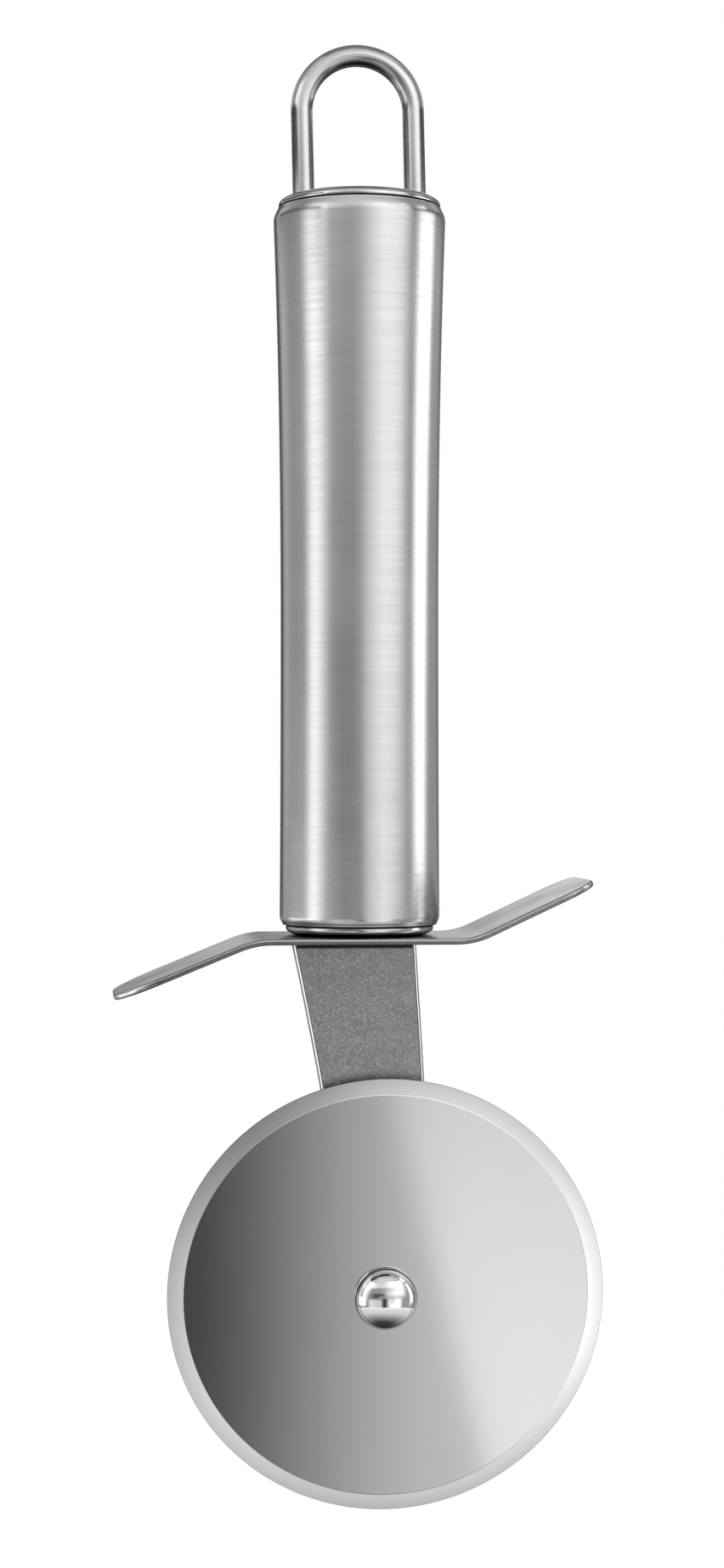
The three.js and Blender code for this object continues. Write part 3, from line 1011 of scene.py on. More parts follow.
@dataclass
class Handle:
    """The waisted tube, the dish on each end and the wire loop, down the Z axis.

    Attributes:
        top_radius: Tube's radius near its upper end.
        waist_radius: Its least radius.
        bottom_radius: Its radius near its lower end.
        waist_depth: How far below the upper end the waist lies.
        flare_power: How the tube widens towards its upper end.
        wall: Thickness of the tube.
        top_roll: How far the upper end is rolled in, and over what height.
        bottom_roll: The same for the lower end.
        lip: Radius of the tube's rolled lips.
        cap_edge: Width of the round edge of each dish.
        cap_wall: Height of the upright wall between that edge and the seam.
        cap_corner: Radius of the corner under that wall.
        cap_sheet: Thickness of each dish.
        cap_fit: Gap between a dish's skirt and the tube.
        cap_inside: Share of the crown's height under which a face lies inside the dish, painted shade and
            grime there.
        seam: Height of the groove between a dish and the tube.
        seam_edge: How far the groove's painted shade and grime reach up the dish.
        wire: Radius of the loop's wire.
        loop_lean: How far the loop leans to the left, in degrees.
        hole_fit: Gap between a leg of the loop and its hole.
        hole_reach: How far a hole's tool reaches above and below the dish's top.
        hole_turn: Turns that tool a little, in degrees, so that its corners miss the dish's own lines.
        sides: How many sides go round the tube.
    """

    top_radius: float = 12.747 * MM
    waist_radius: float = 11.65 * MM
    bottom_radius: float = 11.8 * MM
    waist_depth: float = 64 * MM
    flare_power: float = 2.25
    wall: float = 0.8 * MM
    top_roll: Span = (0.8 * MM, 2.1 * MM)
    bottom_roll: Span = (0.9 * MM, 1.4 * MM)
    lip: float = 0.28 * MM
    cap_edge: float = 1.9 * MM
    cap_wall: float = 0.3 * MM
    cap_corner: float = 0.1 * MM
    cap_sheet: float = 0.6 * MM
    cap_fit: float = 0.1 * MM
    cap_inside: float = 0.7
    seam: float = 0.15 * MM
    seam_edge: float = 0.04 * MM
    wire: float = 1.6 * MM
    loop_lean: float = 1.3
    hole_fit: float = 0.12 * MM
    hole_reach: float = 1.5 * MM
    hole_turn: float = 1.3
    sides: int = 192
    tube_top: float = field(init=False)
    tube_bottom: float = field(init=False)

    def __post_init__(self) -> None:
        """Reads the tube's two ends from the construction."""
        low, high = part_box("handle_tube")
        self.tube_bottom, self.tube_top = low.z, high.z

    def radius(self, depth: float) -> float:
        """The tube's outside radius.

        Args:
            depth: Distance below the tube's upper end.

        Returns:
            The radius there.
        """
        length = self.tube_top - self.tube_bottom
        above = max(0.0, 1 - depth / self.waist_depth)
        below = max(0.0, depth - self.waist_depth) / (length - self.waist_depth)
        flare = (self.top_radius - self.waist_radius) * above**self.flare_power
        foot = (self.bottom_radius - self.waist_radius) * below**2
        top = self.top_roll[0] * max(0.0, 1 - depth / self.top_roll[1]) ** 2
        turn = max(0.0, 1 - (length - depth) / self.bottom_roll[1])
        bottom = self.bottom_roll[0] * (1 - math.sqrt(1 - min(turn, 1.0) ** 2))
        return self.waist_radius + flare + foot - top - bottom

    def build_tube(self) -> Piece:
        """The tube with its rolled ends.

        Returns:
            The tube. Faces inside the end grooves and inside the tube have material index 1, painted shade
            and grime.
        """
        length = self.tube_top - self.tube_bottom
        top_end, bottom_end, tip = self.top_roll[1], length - self.bottom_roll[1], length - self.lip
        middle = divided(top_end, bottom_end, count=70)
        depths = divided(self.lip, top_end, count=12) + middle
        depths += divided(bottom_end, tip, count=12) + [tip]
        outside = [(self.radius(d), self.tube_top - d) for d in depths]
        inside = [(self.radius(d) - self.wall, self.tube_top - d) for d in reversed(middle)]
        first, last = outside[0][0], outside[-1][0]
        lip = (self.lip, self.lip)
        top_lip = quarter_arc((first - self.lip, self.tube_top - self.lip), lip, start=0, steps=5)
        bottom_lip = quarter_arc((last - self.lip, self.tube_bottom + self.lip), lip, start=270, steps=5)
        profile = outside + bottom_lip[::-1][1:] + [(last - self.wall, self.tube_bottom)]
        profile += inside + [(first - self.wall, self.tube_top)] + top_lip[::-1][:-1]
        piece = lathe("handle_tube_shell", profile, self.sides, closed=True)
        inner = self.wall * 0.6
        shown = self.lip * 0.2

        def hidden(centre: Vector) -> bool:
            """Whether a face lies in an end groove or inside the tube.

            Args:
                centre: Middle of the face.

            Returns:
                True for a hidden face.
            """
            depth = self.tube_top - centre.z
            across = math.hypot(centre.x, centre.y)
            if across < self.radius(depth) - inner:
                return True
            if depth < self.lip:
                return across < first - shown
            return length - depth < self.lip and across < last - shown

        # Painted shade and grime on the faces in the end grooves and inside the tube.
        paint_faces(piece, 1, hidden)
        return piece

    def cap_profile(self, mouth: float, height: float, skirt: float) -> Profile:
        """A dish with its crown upwards, over a tube whose end lies at height 0.

        Args:
            mouth: Radius of the tube's end.
            height: Height of the crown above the tube's end.
            skirt: How deep the skirt reaches into the tube.

        Returns:
            The closed profile, from the axis under the crown round to the axis on top.
        """
        outer = mouth - self.wall - self.cap_fit
        inner = outer - self.cap_sheet
        corner = self.cap_corner
        wall = self.seam + self.cap_wall
        edge_size = (self.cap_edge, height - wall)
        edge = quarter_arc((mouth - self.cap_edge, wall), edge_size, start=0, steps=18)
        bend = quarter_arc((mouth - corner, self.seam + corner), (corner, corner), start=270, steps=4)
        crown = divided(mouth - self.cap_edge, 0.0, count=6)[1:]
        under = [(0.0, height - self.cap_sheet), (inner, height - self.cap_sheet)]
        side = [(inner, -skirt), (outer, -skirt), (outer, self.seam)]
        return under + side + bend + edge + [(r, height) for r in crown] + [(0.0, height)]

    def build_cap(self, name: str, node: str, upwards: bool) -> Piece:
        """One end's dish.

        Args:
            name: Name of the piece.
            node: The construction node that it stands for.
            upwards: Whether its crown points up.

        Returns:
            The dish. Faces under its edge and inside it have material index 1, painted shade and grime.
        """
        low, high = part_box(node)
        mouth = high.x
        if upwards:
            crown, skirt = high.z - self.tube_top, self.tube_top - low.z
            move = Matrix.Translation((0, 0, self.tube_top))
        else:
            crown, skirt = self.tube_bottom - low.z, high.z - self.tube_bottom
            move = Matrix.Translation((0, 0, self.tube_bottom)) @ Matrix.Rotation(math.pi, 4, "X")
        piece = lathe(name, self.cap_profile(mouth, crown, skirt), self.sides)
        # Painted shade and grime in the seam's groove and inside the dish.
        limit, inside = self.seam + self.seam_edge, crown * self.cap_inside
        shown = mouth - self.wall
        paint_faces(piece, 1, lambda c: c.z < limit or (c.z < inside and math.hypot(c.x, c.y) < shown))
        piece.data.transform(move)
        return piece

    def build_loop(self) -> Piece:
        """The bent wire.

        Returns:
            The wire as one closed tube with flat ends.
        """
        low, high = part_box("hanging_loop")
        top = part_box("top_cap")[1].z
        bend = high.x - self.wire
        centre = high.z - self.wire - bend
        lean = Matrix.Translation((0, 0, top)) @ Matrix.Rotation(math.radians(-self.loop_lean), 4, "Y")
        lean = lean @ Matrix.Translation((0, 0, -top))
        path = [(-bend, z, 180.0) for z in divided(low.z, centre, count=40)]
        for degrees in divided(180.0, 0.0, count=180) + [0.0]:
            turn = math.radians(degrees)
            path.append((bend * math.cos(turn), centre + bend * math.sin(turn), degrees))
        path += [(bend, z, 0.0) for z in divided(centre, low.z, count=40)[1:] + [low.z]]
        sides = 96
        vertices: list[Vector] = []
        for x, z, degrees in path:
            outwards = Vector((math.cos(math.radians(degrees)), 0, math.sin(math.radians(degrees))))
            for cosine, sine in circle(sides):
                offset = outwards * (self.wire * cosine) + Vector((0, self.wire * sine, 0))
                vertices.append(lean @ (Vector((x, 0, z)) + offset))
        rings = [range(step * sides, (step + 1) * sides) for step in range(len(path))]
        faces = [face for first, second in zip(rings, rings[1:]) for face in ring_faces(first, second)]
        return object_from("wire_loop", vertices, [*faces, rings[0], rings[-1]])

    def drill_cap(self, piece: Piece) -> None:
        """Cuts the two holes for the loop's legs.

        Args:
            piece: The upper dish.
        """
        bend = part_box("hanging_loop")[1].x - self.wire
        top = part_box("top_cap")[1].z
        radius, reach = self.wire + self.hole_fit, self.hole_reach
        turn = Matrix.Rotation(math.radians(self.hole_turn), 4, "Z")
        for side in (-1, 1):
            profile = [(0, -reach), (radius, -reach), (radius, reach), (0, reach)]
            tool = lathe("leg_hole", profile, sides=64)
            tool.data.transform(Matrix.Translation((side * bend, 0, top)) @ turn)
            combine(piece, tool, Work.CUT)

    def build(self, finishes: FinishSet) -> None:
        """Builds and dresses the tube, the dishes and the loop.

        Args:
            finishes: The materials of the whole tool.
        """
        tube = self.build_tube()
        dress(tube, finishes.tube, finishes.grime)
        settle(tube, Body.HANDLE, "handle_tube")
        for name, node, upwards in (("top_dish", "top_cap", True), ("bottom_dish", "bottom_cap", False)):
            dish = self.build_cap(name, node, upwards)
            dress(dish, finishes.cap, finishes.grime)
            if upwards:
                self.drill_cap(dish)
            else:
                combine(dish, Tang().slot(), Work.CUT)
            smooth_by_angle(dish, degrees=40)
            settle(dish, Body.HANDLE, node)
        loop = self.build_loop()
        dress(loop, finishes.wire)
        smooth_by_angle(loop, degrees=60)
        settle(loop, Body.HANDLE, "hanging_loop")


@dataclass
class Guard:
    """The finger guard: a strip with its left wing bent down and its right wing bent up.

    Attributes:
        sheet: Thickness.
        depth: Size from front to back.
        left_bend: Where the left wing starts, from the handle's axis.
        right_bend: Where the right wing starts.
        left_wing: Length of the left wing.
        right_wing: Length of the right wing.
        left_degrees: How far the left wing goes down.
        right_degrees: How far the right wing goes up.
        bend: How far each bend is eased to both sides.
        left_corner: Radius of the left end's rounded corners.
        right_corner: Radius of the right end's rounded corners.
        edge: Radius of the edges.
        gap: Gap to the dish above it.
    """

    sheet: float = GUARD_SHEET
    depth: float = 24 * MM
    left_bend: float = 16 * MM
    right_bend: float = 15.6 * MM
    left_wing: float = 21.76 * MM
    right_wing: float = 19.75 * MM
    left_degrees: float = 22.2
    right_degrees: float = 25.0
    bend: float = 2.5 * MM
    left_corner: float = 7.4 * MM
    right_corner: float = 5 * MM
    edge: float = 0.3 * MM
    gap: float = 0.05 * MM
    middle: float = field(init=False)

    def __post_init__(self) -> None:
        """Reads the height of the strip's flat from the dish above it."""
        self.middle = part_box("bottom_cap")[0].z - self.gap - self.sheet / 2

    def spine(self, along: float) -> tuple[Vector, Vector]:
        """The strip's middle line.

        Args:
            along: Distance from the handle's axis along the strip, to the right.

        Returns:
            The point and the direction of the strip's upper face there, both in X and Z.
        """
        if along > 0:
            side, start, full = 1.0, self.right_bend - self.bend, math.radians(self.right_degrees)
        else:
            side, start, full = -1.0, self.left_bend - self.bend, math.radians(self.left_degrees)
        past = abs(along) - start
        point = Vector((min(abs(along), start), 0.0))
        angle = 0.0
        if past > 0:
            arc = 2 * self.bend
            steps = 24
            stretch = min(past, arc) / steps
            for i in range(steps):
                angle = full * (i + 0.5) * stretch / arc
                point += Vector((math.cos(angle), math.sin(angle))) * stretch
            angle = full * min(past, arc) / arc
            point += Vector((math.cos(angle), math.sin(angle))) * max(0.0, past - arc)
        return point * side, Vector((-math.sin(angle), math.cos(angle)))

    def bent(self, along: float, across: float, height: float) -> Vector:
        """Where a point of the flat strip goes on the bent one.

        Args:
            along: Distance from the handle's axis along the strip, to the right.
            across: Place in Y.
            height: Distance above the middle of the sheet.

        Returns:
            The point in the construction's frame.
        """
        where, up = self.spine(along)
        spot = where + up * height
        return Vector((spot.x, across, self.middle + spot.y))

    def build(self, finishes: FinishSet) -> None:
        """Builds and dresses the strip.

        Args:
            finishes: The materials of the whole tool.
        """
        half = self.depth / 2
        start, end = -self.left_bend - self.left_wing, self.right_bend + self.right_wing
        rear_edge = []
        for middle, radius, turn in (
            (start + self.left_corner, self.left_corner, 90),
            (end - self.right_corner, self.right_corner, 0),
        ):
            corner = quarter_arc((middle, half - radius), (radius, radius), turn, steps=16)[::-1]
            if rear_edge:
                straight = divided(rear_edge[-1][0], corner[0][0], count=110)[1:]
                rear_edge += [(s, half) for s in straight]
            rear_edge += corner
        # The edges are painted in bands: a darker copy of the guard's steel as painted shade on the flats and
        # the upper rounding, with a painted highlight towards -X; a painted highlight line in polished steel
        # on one upper step; painted shade on most of the lower rounding.
        face, side, line, shade = range(4)
        plate = Plate(
            "finger_guard_strip",
            left=rear_edge,
            right=[(s, -t) for s, t in rear_edge],
            sheet=self.sheet,
            edge=self.edge,
            edge_finish=(side, line, side, side, face),
            under_finish=(side, shade, shade, shade, face),
        )
        strip = plate.build(self.bent)
        dress(strip, finishes.guard, finishes.guard_edge, finishes.edge_line, finishes.edge_shade)
        combine(strip, Tang().slot(), Work.CUT)
        smooth_by_angle(strip, degrees=40)
        settle(strip, Body.HANDLE, "finger_guard")


@dataclass
class Shank:
    """The leaning plate that carries the wheel, with its tang.

    Attributes:
        axle: The wheel's axle as a frame.
        sheet: Thickness.
        left_shoulder: Width left of the handle's axis, under the guard.
        right_shoulder: Width right of it.
        guard_gap: How far the shoulders lie under the guard, and the guard under the dish, in all.
        bend_drop: How far under the guard the plate bends back.
        bend_ease: How far that bend is eased to both sides.
        end_radius: Radius of the round end about the rivet.
        end_run: How far the sides keep straight up from the round end.
        end_degrees: How far each side goes round the end.
        left_run: How far the left side keeps its direction under the guard.
        left_degrees: That direction, outwards from straight down.
        right_run: The same for the right side.
        right_degrees: That direction, outwards from straight down.
        edge: Width of the polished edges.
        edge_fullness: How round those edges are, where 0 is a flat bevel.
    """

    axle: Matrix
    sheet: float = 2 * MM
    left_shoulder: float = 10.1 * MM
    right_shoulder: float = 8.3 * MM
    guard_gap: float = 0.1 * MM
    bend_drop: float = 1.5 * MM
    bend_ease: float = 0.8 * MM
    end_radius: float = 6.8 * MM
    end_run: float = 17.5 * MM
    end_degrees: float = 86.0
    left_run: float = 18 * MM
    left_degrees: float = -12.0
    right_run: float = 17.5 * MM
    right_degrees: float = 4.0
    edge: float = 0.55 * MM
    edge_fullness: float = 0.45
    top: float = field(init=False)
    lean: float = field(init=False)

    def __post_init__(self) -> None:
        """Reads the plate's upper edge and its lean from the construction."""
        self.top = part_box("bottom_cap")[0].z - self.guard_gap - GUARD_SHEET
        self.lean = math.asin(self.axle.col[1].z)

    def side(self, direction: int, shoulder: float, run: float, degrees: float) -> Profile:
        """One side of the plate: a curve from the shoulder to the round end, and the end's own round.

        Args:
            direction: -1 for the left side, 1 for the right side.
            shoulder: Width from the handle's axis to the shoulder.
            run: How far the side keeps its direction under the guard.
            degrees: That direction, outwards from straight down.

        Returns:
            The points from the shoulder down, in X and Z.
        """
        axle = self.axle.translation
        corner = Vector((direction * shoulder, self.top))
        end = Vector((axle.x + direction * self.end_radius, axle.z))
        first = corner + Vector((direction * run * math.tan(math.radians(degrees)), -run))
        second = end + Vector((0.0, self.end_run))
        points = []
        for t in divided(0.0, 1.0, count=90):
            a, b, c, d = (1 - t) ** 3, 3 * t * (1 - t) ** 2, 3 * t**2 * (1 - t), t**3
            points.append(tuple(corner * a + first * b + second * c + end * d))
        full = math.radians(self.end_degrees)
        for turn in divided(0.0, full, count=23) + [full]:
            across = direction * self.end_radius * math.cos(turn)
            points.append((axle.x + across, axle.z - self.end_radius * math.sin(turn)))
        return points

    def bent(self, across: float, level: float, height: float) -> Vector:
        """Where a point of the plate's front outline goes on the leaning sheet.

        Args:
            across: Place in X.
            level: Place in Z, seen from the front.
            height: Distance in front of the middle of the sheet.

        Returns:
            The point in the construction's frame.
        """
        ease = self.bend_ease
        drop = self.top - self.bend_drop - level
        share = min(1.0, max(0.0, (drop + ease) / (2 * ease)))
        angle = self.lean * share
        eased = max(0.0, drop) if abs(drop) > ease else (drop + ease) ** 2 / (4 * ease)
        back = math.tan(self.lean) * eased
        return Vector((across, back - height * math.cos(angle), level - height * math.sin(angle)))

    def build(self, finishes: FinishSet) -> None:
        """Builds and dresses the plate and its tang.

        Args:
            finishes: The materials of the whole tool.
        """
        # The rounded edges are painted in bands: painted shade, with a painted highlight line in polished
        # steel on one step.
        line, shade = 1, 2
        plate = Plate(
            "shank_plate",
            left=self.side(-1, self.left_shoulder, self.left_run, self.left_degrees),
            right=self.side(1, self.right_shoulder, self.right_run, self.right_degrees),
            sheet=self.sheet,
            edge=self.edge,
            edge_finish=(shade, shade, shade, line, shade),
            fullness=self.edge_fullness,
        )
        piece = plate.build(self.bent)
        dress(piece, finishes.shank, finishes.edge_line, finishes.edge_shade)
        tang = Tang()
        combine(piece, tang.blade(self.top), Work.JOIN)
        # The tang, hidden inside the handle, takes the dark edge material as bare steel.
        paint_faces(piece, shade, lambda c: c.z > self.top + tang.fit)
        smooth_by_angle(piece, degrees=20)
        settle(piece, Body.HANDLE, "shank")


@dataclass
class Wheel:
    """The cutting wheel, its rivet and the washers, about the axle's own axis.

    The axle's frame has the dome towards -Y. Turned pieces are made about Z, with the dome upwards, and laid
    into that frame.

    Attributes:
        axle: The axle's frame.
        bevel: Width of the ground ring at the wheel's edge.
        edge: Thickness that the grinding leaves.
        ridge: Width of the bright line between face and ring.
        ridge_degrees: Slope of that line.
        rim_shade_line: Width of the painted shade line at the very rim.
        chamfer: Width of the softened corner of the wheel's bore and of the washers.
        facet: How far the construction's flat sides lie inside its circle.
        head_trim: How far the rivet head's edge lies inside the construction's.
        head_shift: How far the head lies to the right of the wheel's middle and above it, in its play.
        head_gap: Gap between the head and the wheel.
        dome_edge: Height of the rivet head's round edge under the dome.
        undercut: How far the head's underside is drawn in.
        foot: Width of the dark ring round the dome's foot, painted shade and grime.
        foot_drop: Height of that ring.
        grime_share: Share of the round edge that is painted dark at its foot, as shade and grime.
        neck: How far under the head the rivet's shoulder starts.
        fit: Gap between the rivet and a washer's bore.
        tail_flare: How far the closed tail reaches past its bore.
        tail_gap: Gap between the closed tail and its washer.
        sides: How many sides go round the wheel.
    """

    axle: Matrix
    bevel: float = 2.4 * MM
    edge: float = 0.2 * MM
    ridge: float = 0.08 * MM
    ridge_degrees: float = 24.0
    rim_shade_line: float = 0.05 * MM
    chamfer: float = 0.1 * MM
    facet: float = 0.035 * MM
    head_trim: float = 0.25 * MM
    head_shift: Span = (-0.17 * MM, -0.25 * MM)
    head_gap: float = 0.15 * MM
    dome_edge: float = 0.95 * MM
    undercut: float = 0.6 * MM
    foot: float = 0.12 * MM
    foot_drop: float = 0.05 * MM
    grime_share: float = 0.1
    neck: float = 0.1 * MM
    fit: float = 0.1 * MM
    tail_flare: float = 1.3 * MM
    tail_gap: float = 0.15 * MM
    sides: int = 256

    def turned(self, name: str, profile: Profile, sides: int, closed: bool) -> Piece:
        """A turned piece laid into the axle's frame, its height along the dome's direction.

        Args:
            name: Name of the piece.
            profile: Radius and place along -Y of each point.
            sides: How many sides go round.
            closed: Whether the profile closes on itself.

        Returns:
            The piece in its place.
        """
        piece = lathe(name, profile, sides, closed)
        piece.matrix_world = self.axle @ Matrix.Rotation(math.pi / 2, 4, "X")
        bpy.context.view_layer.update()
        return piece

    def points(self, node: str) -> np.ndarray:
        """The points of a construction node in the axle's frame."""
        inverse = self.axle.inverted()
        return np.array([inverse @ v.co for v in frame["nodes"][node].data.vertices])

    def reach(self, node: str) -> tuple[float, float, float]:
        """How far a construction node reaches in the axle's frame.

        Args:
            node: Name of the node.

        Returns:
            Its front and its back along -Y, and its radius.
        """
        points = self.points(node)
        return float(-points[:, 1].min()), float(-points[:, 1].max()), float(points[:, 0].max())

    def bore(self, node: str) -> float:
        """The radius of the hole in a turned construction node."""
        points = self.points(node)
        return float(np.hypot(points[:, 0], points[:, 2]).min())

    def build_disc(self) -> Piece:
        """The cutting wheel.

        Returns:
            The wheel. Faces of its ground ring have material index 1, those of its rim 2, a painted shade
            line.
        """
        front, back, radius = self.reach("cutting_wheel")
        radius -= self.facet
        bore = self.bore("cutting_wheel")
        middle = (front + back) / 2
        flat, rim = radius - self.bevel, radius - self.rim_shade_line
        start = front - self.ridge * math.tan(math.radians(self.ridge_degrees))
        slope = (start - middle - self.edge / 2) / (self.bevel - self.ridge)
        face = divided(bore + self.chamfer, flat, count=14) + [flat]
        ring = divided(flat + self.ridge, rim, count=10) + [rim, radius]
        half_profile = [(bore, front - self.chamfer)] + [(r, front) for r in face]
        half_profile += [(r, start - slope * (r - ring[0])) for r in ring]
        mirrored = [(r, 2 * middle - h) for r, h in reversed(half_profile)]
        disc = self.turned("cutting_disc", half_profile + mirrored, self.sides, closed=True)
        paint_faces(disc, 1, lambda c: math.hypot(c.x, c.y) > flat)
        # Painted shade: the dark line at the very rim.
        paint_faces(disc, 2, lambda c: math.hypot(c.x, c.y) > rim)
        smooth_by_angle(disc, degrees=5)
        return disc

    def build_rivet(self) -> Piece:
        """The rivet: dome, shoulder and closed tail.

        Returns:
            The rivet. Its dark foot and the foot of its round edge have material index 1, painted shade and
            grime.
        """
        front, back, head = self.reach("axle_rivet")
        head -= self.head_trim
        washer_back = self.reach("wheel_washer")[1]
        shoulder = self.bore("wheel_washer") - self.fit
        tail = self.bore("tail_washer") - self.fit
        under = self.reach("cutting_wheel")[0] + self.head_gap
        base = under + self.dome_edge
        foot = base - self.foot_drop
        dome = quarter_arc((0, base), (head - self.foot, front - base), start=0, steps=26)[::-1]
        dome[0] = (0.0, front)
        belly_size = (self.undercut, foot - under)
        belly = quarter_arc((head - self.undercut, foot), belly_size, start=270, steps=10)[::-1]
        closed_front = self.reach("tail_washer")[1] - self.tail_gap
        closed_size = (tail + self.tail_flare, closed_front - back)
        closed = quarter_arc((0, closed_front), closed_size, start=270, steps=14)[::-1]
        closed[-1] = (0.0, back)
        neck = under - self.neck
        waist = [(shoulder, neck), (shoulder, washer_back), (tail, washer_back), (tail, closed_front)]
        profile = dome + belly + waist + closed
        rivet = self.turned("axle_rivet_body", profile, sides=128, closed=False)
        # Painted shade and grime on the ring round the dome's foot and on the foot of its round edge.
        dark = under + self.dome_edge * self.grime_share
        paint_faces(rivet, 1, lambda c: foot < c.z < base or washer_back < c.z < dark)
        for vertex in rivet.data.vertices:
            if vertex.co.z > neck + self.neck / 2:
                vertex.co += Vector((*self.head_shift, 0.0))
        smooth_by_angle(rivet, degrees=40)
        return rivet

    def build_washer(self, name: str, node: str) -> Piece:
        """A stamped washer with softened corners.

        Args:
            name: Name of the piece.
            node: The construction node that it stands for.

        Returns:
            The washer.
        """
        front, back, radius = self.reach(node)
        bore = self.bore(node)
        soft = self.chamfer
        profile = quarter_arc((radius - soft, back + soft), (soft, soft), start=270, steps=4)
        profile += quarter_arc((radius - soft, front - soft), (soft, soft), start=0, steps=4)
        profile += [(bore + soft, front), (bore, front - soft), (bore, back + soft), (bore + soft, back)]
        washer = self.turned(name, profile, sides=96, closed=True)
        smooth_by_angle(washer, degrees=40)
        return washer

    def build(self, finishes: FinishSet) -> None:
        """Builds and dresses the wheel, the rivet and the washers.

        Args:
            finishes: The materials of the whole tool.
        """
        disc = self.build_disc()
        dress(disc, finishes.wheel, finishes.bevel, finishes.edge_shade)
        settle(disc, Body.WHEEL, "cutting_wheel")
        rivet = self.build_rivet()
        dress(rivet, finishes.rivet, finishes.grime)
        settle(rivet, Body.HANDLE, "axle_rivet")
        for name, node in (("spacer_washer", "wheel_washer"), ("rivet_washer", "tail_washer")):
            washer = self.build_washer(name, node)
            dress(washer, finishes.washer)
            settle(washer, Body.HANDLE, node)


# Studio


@dataclass(frozen=True)
class SoftCard:
    """A lit card in the tent round the object, with soft edges.

    Attributes:
        name: Where it hangs, with left and right as in the picture and ahead on the camera's side.
        rise: Azimuths where its light starts and is full, in degrees to the right of straight ahead of -Y.
        fall: Azimuths where its light starts to fade and is gone.
        bottom: Heights where its light starts and is full.
        top: Heights where its light starts to fade and is gone.
        strength: Its brightness, where 1 is white.
        slant: How many degrees its two sides move to the right for each metre up.
        level: The height at which its azimuths are given.
    """

    name: str
    rise: Span
    fall: Span
    bottom: Span
    top: Span
    strength: float
    slant: Span = (0.0, 0.0)
    level: float = 0.0


@dataclass(frozen=True)
class Flag:
    """A small card near the wire loop that keeps the tent's light off, upright beside it or level above it.

    Attributes:
        name: Name of the card.
        first: One corner, on the left if it is a level one.
        last: The opposite corner.
        tone: Its brightness, where 1 is white.
    """

    name: str
    first: Point
    last: Point
    tone: float

    def corners(self) -> list[Vector]:
        """Its outline.

        Returns:
            The four corners in order.
        """
        a, c = Vector(self.first), Vector(self.last)
        b = Vector((c.x, a.y, a.z)) if a.x != c.x else Vector((a.x, c.y, a.z))
        return [a, b, c, a + c - b]


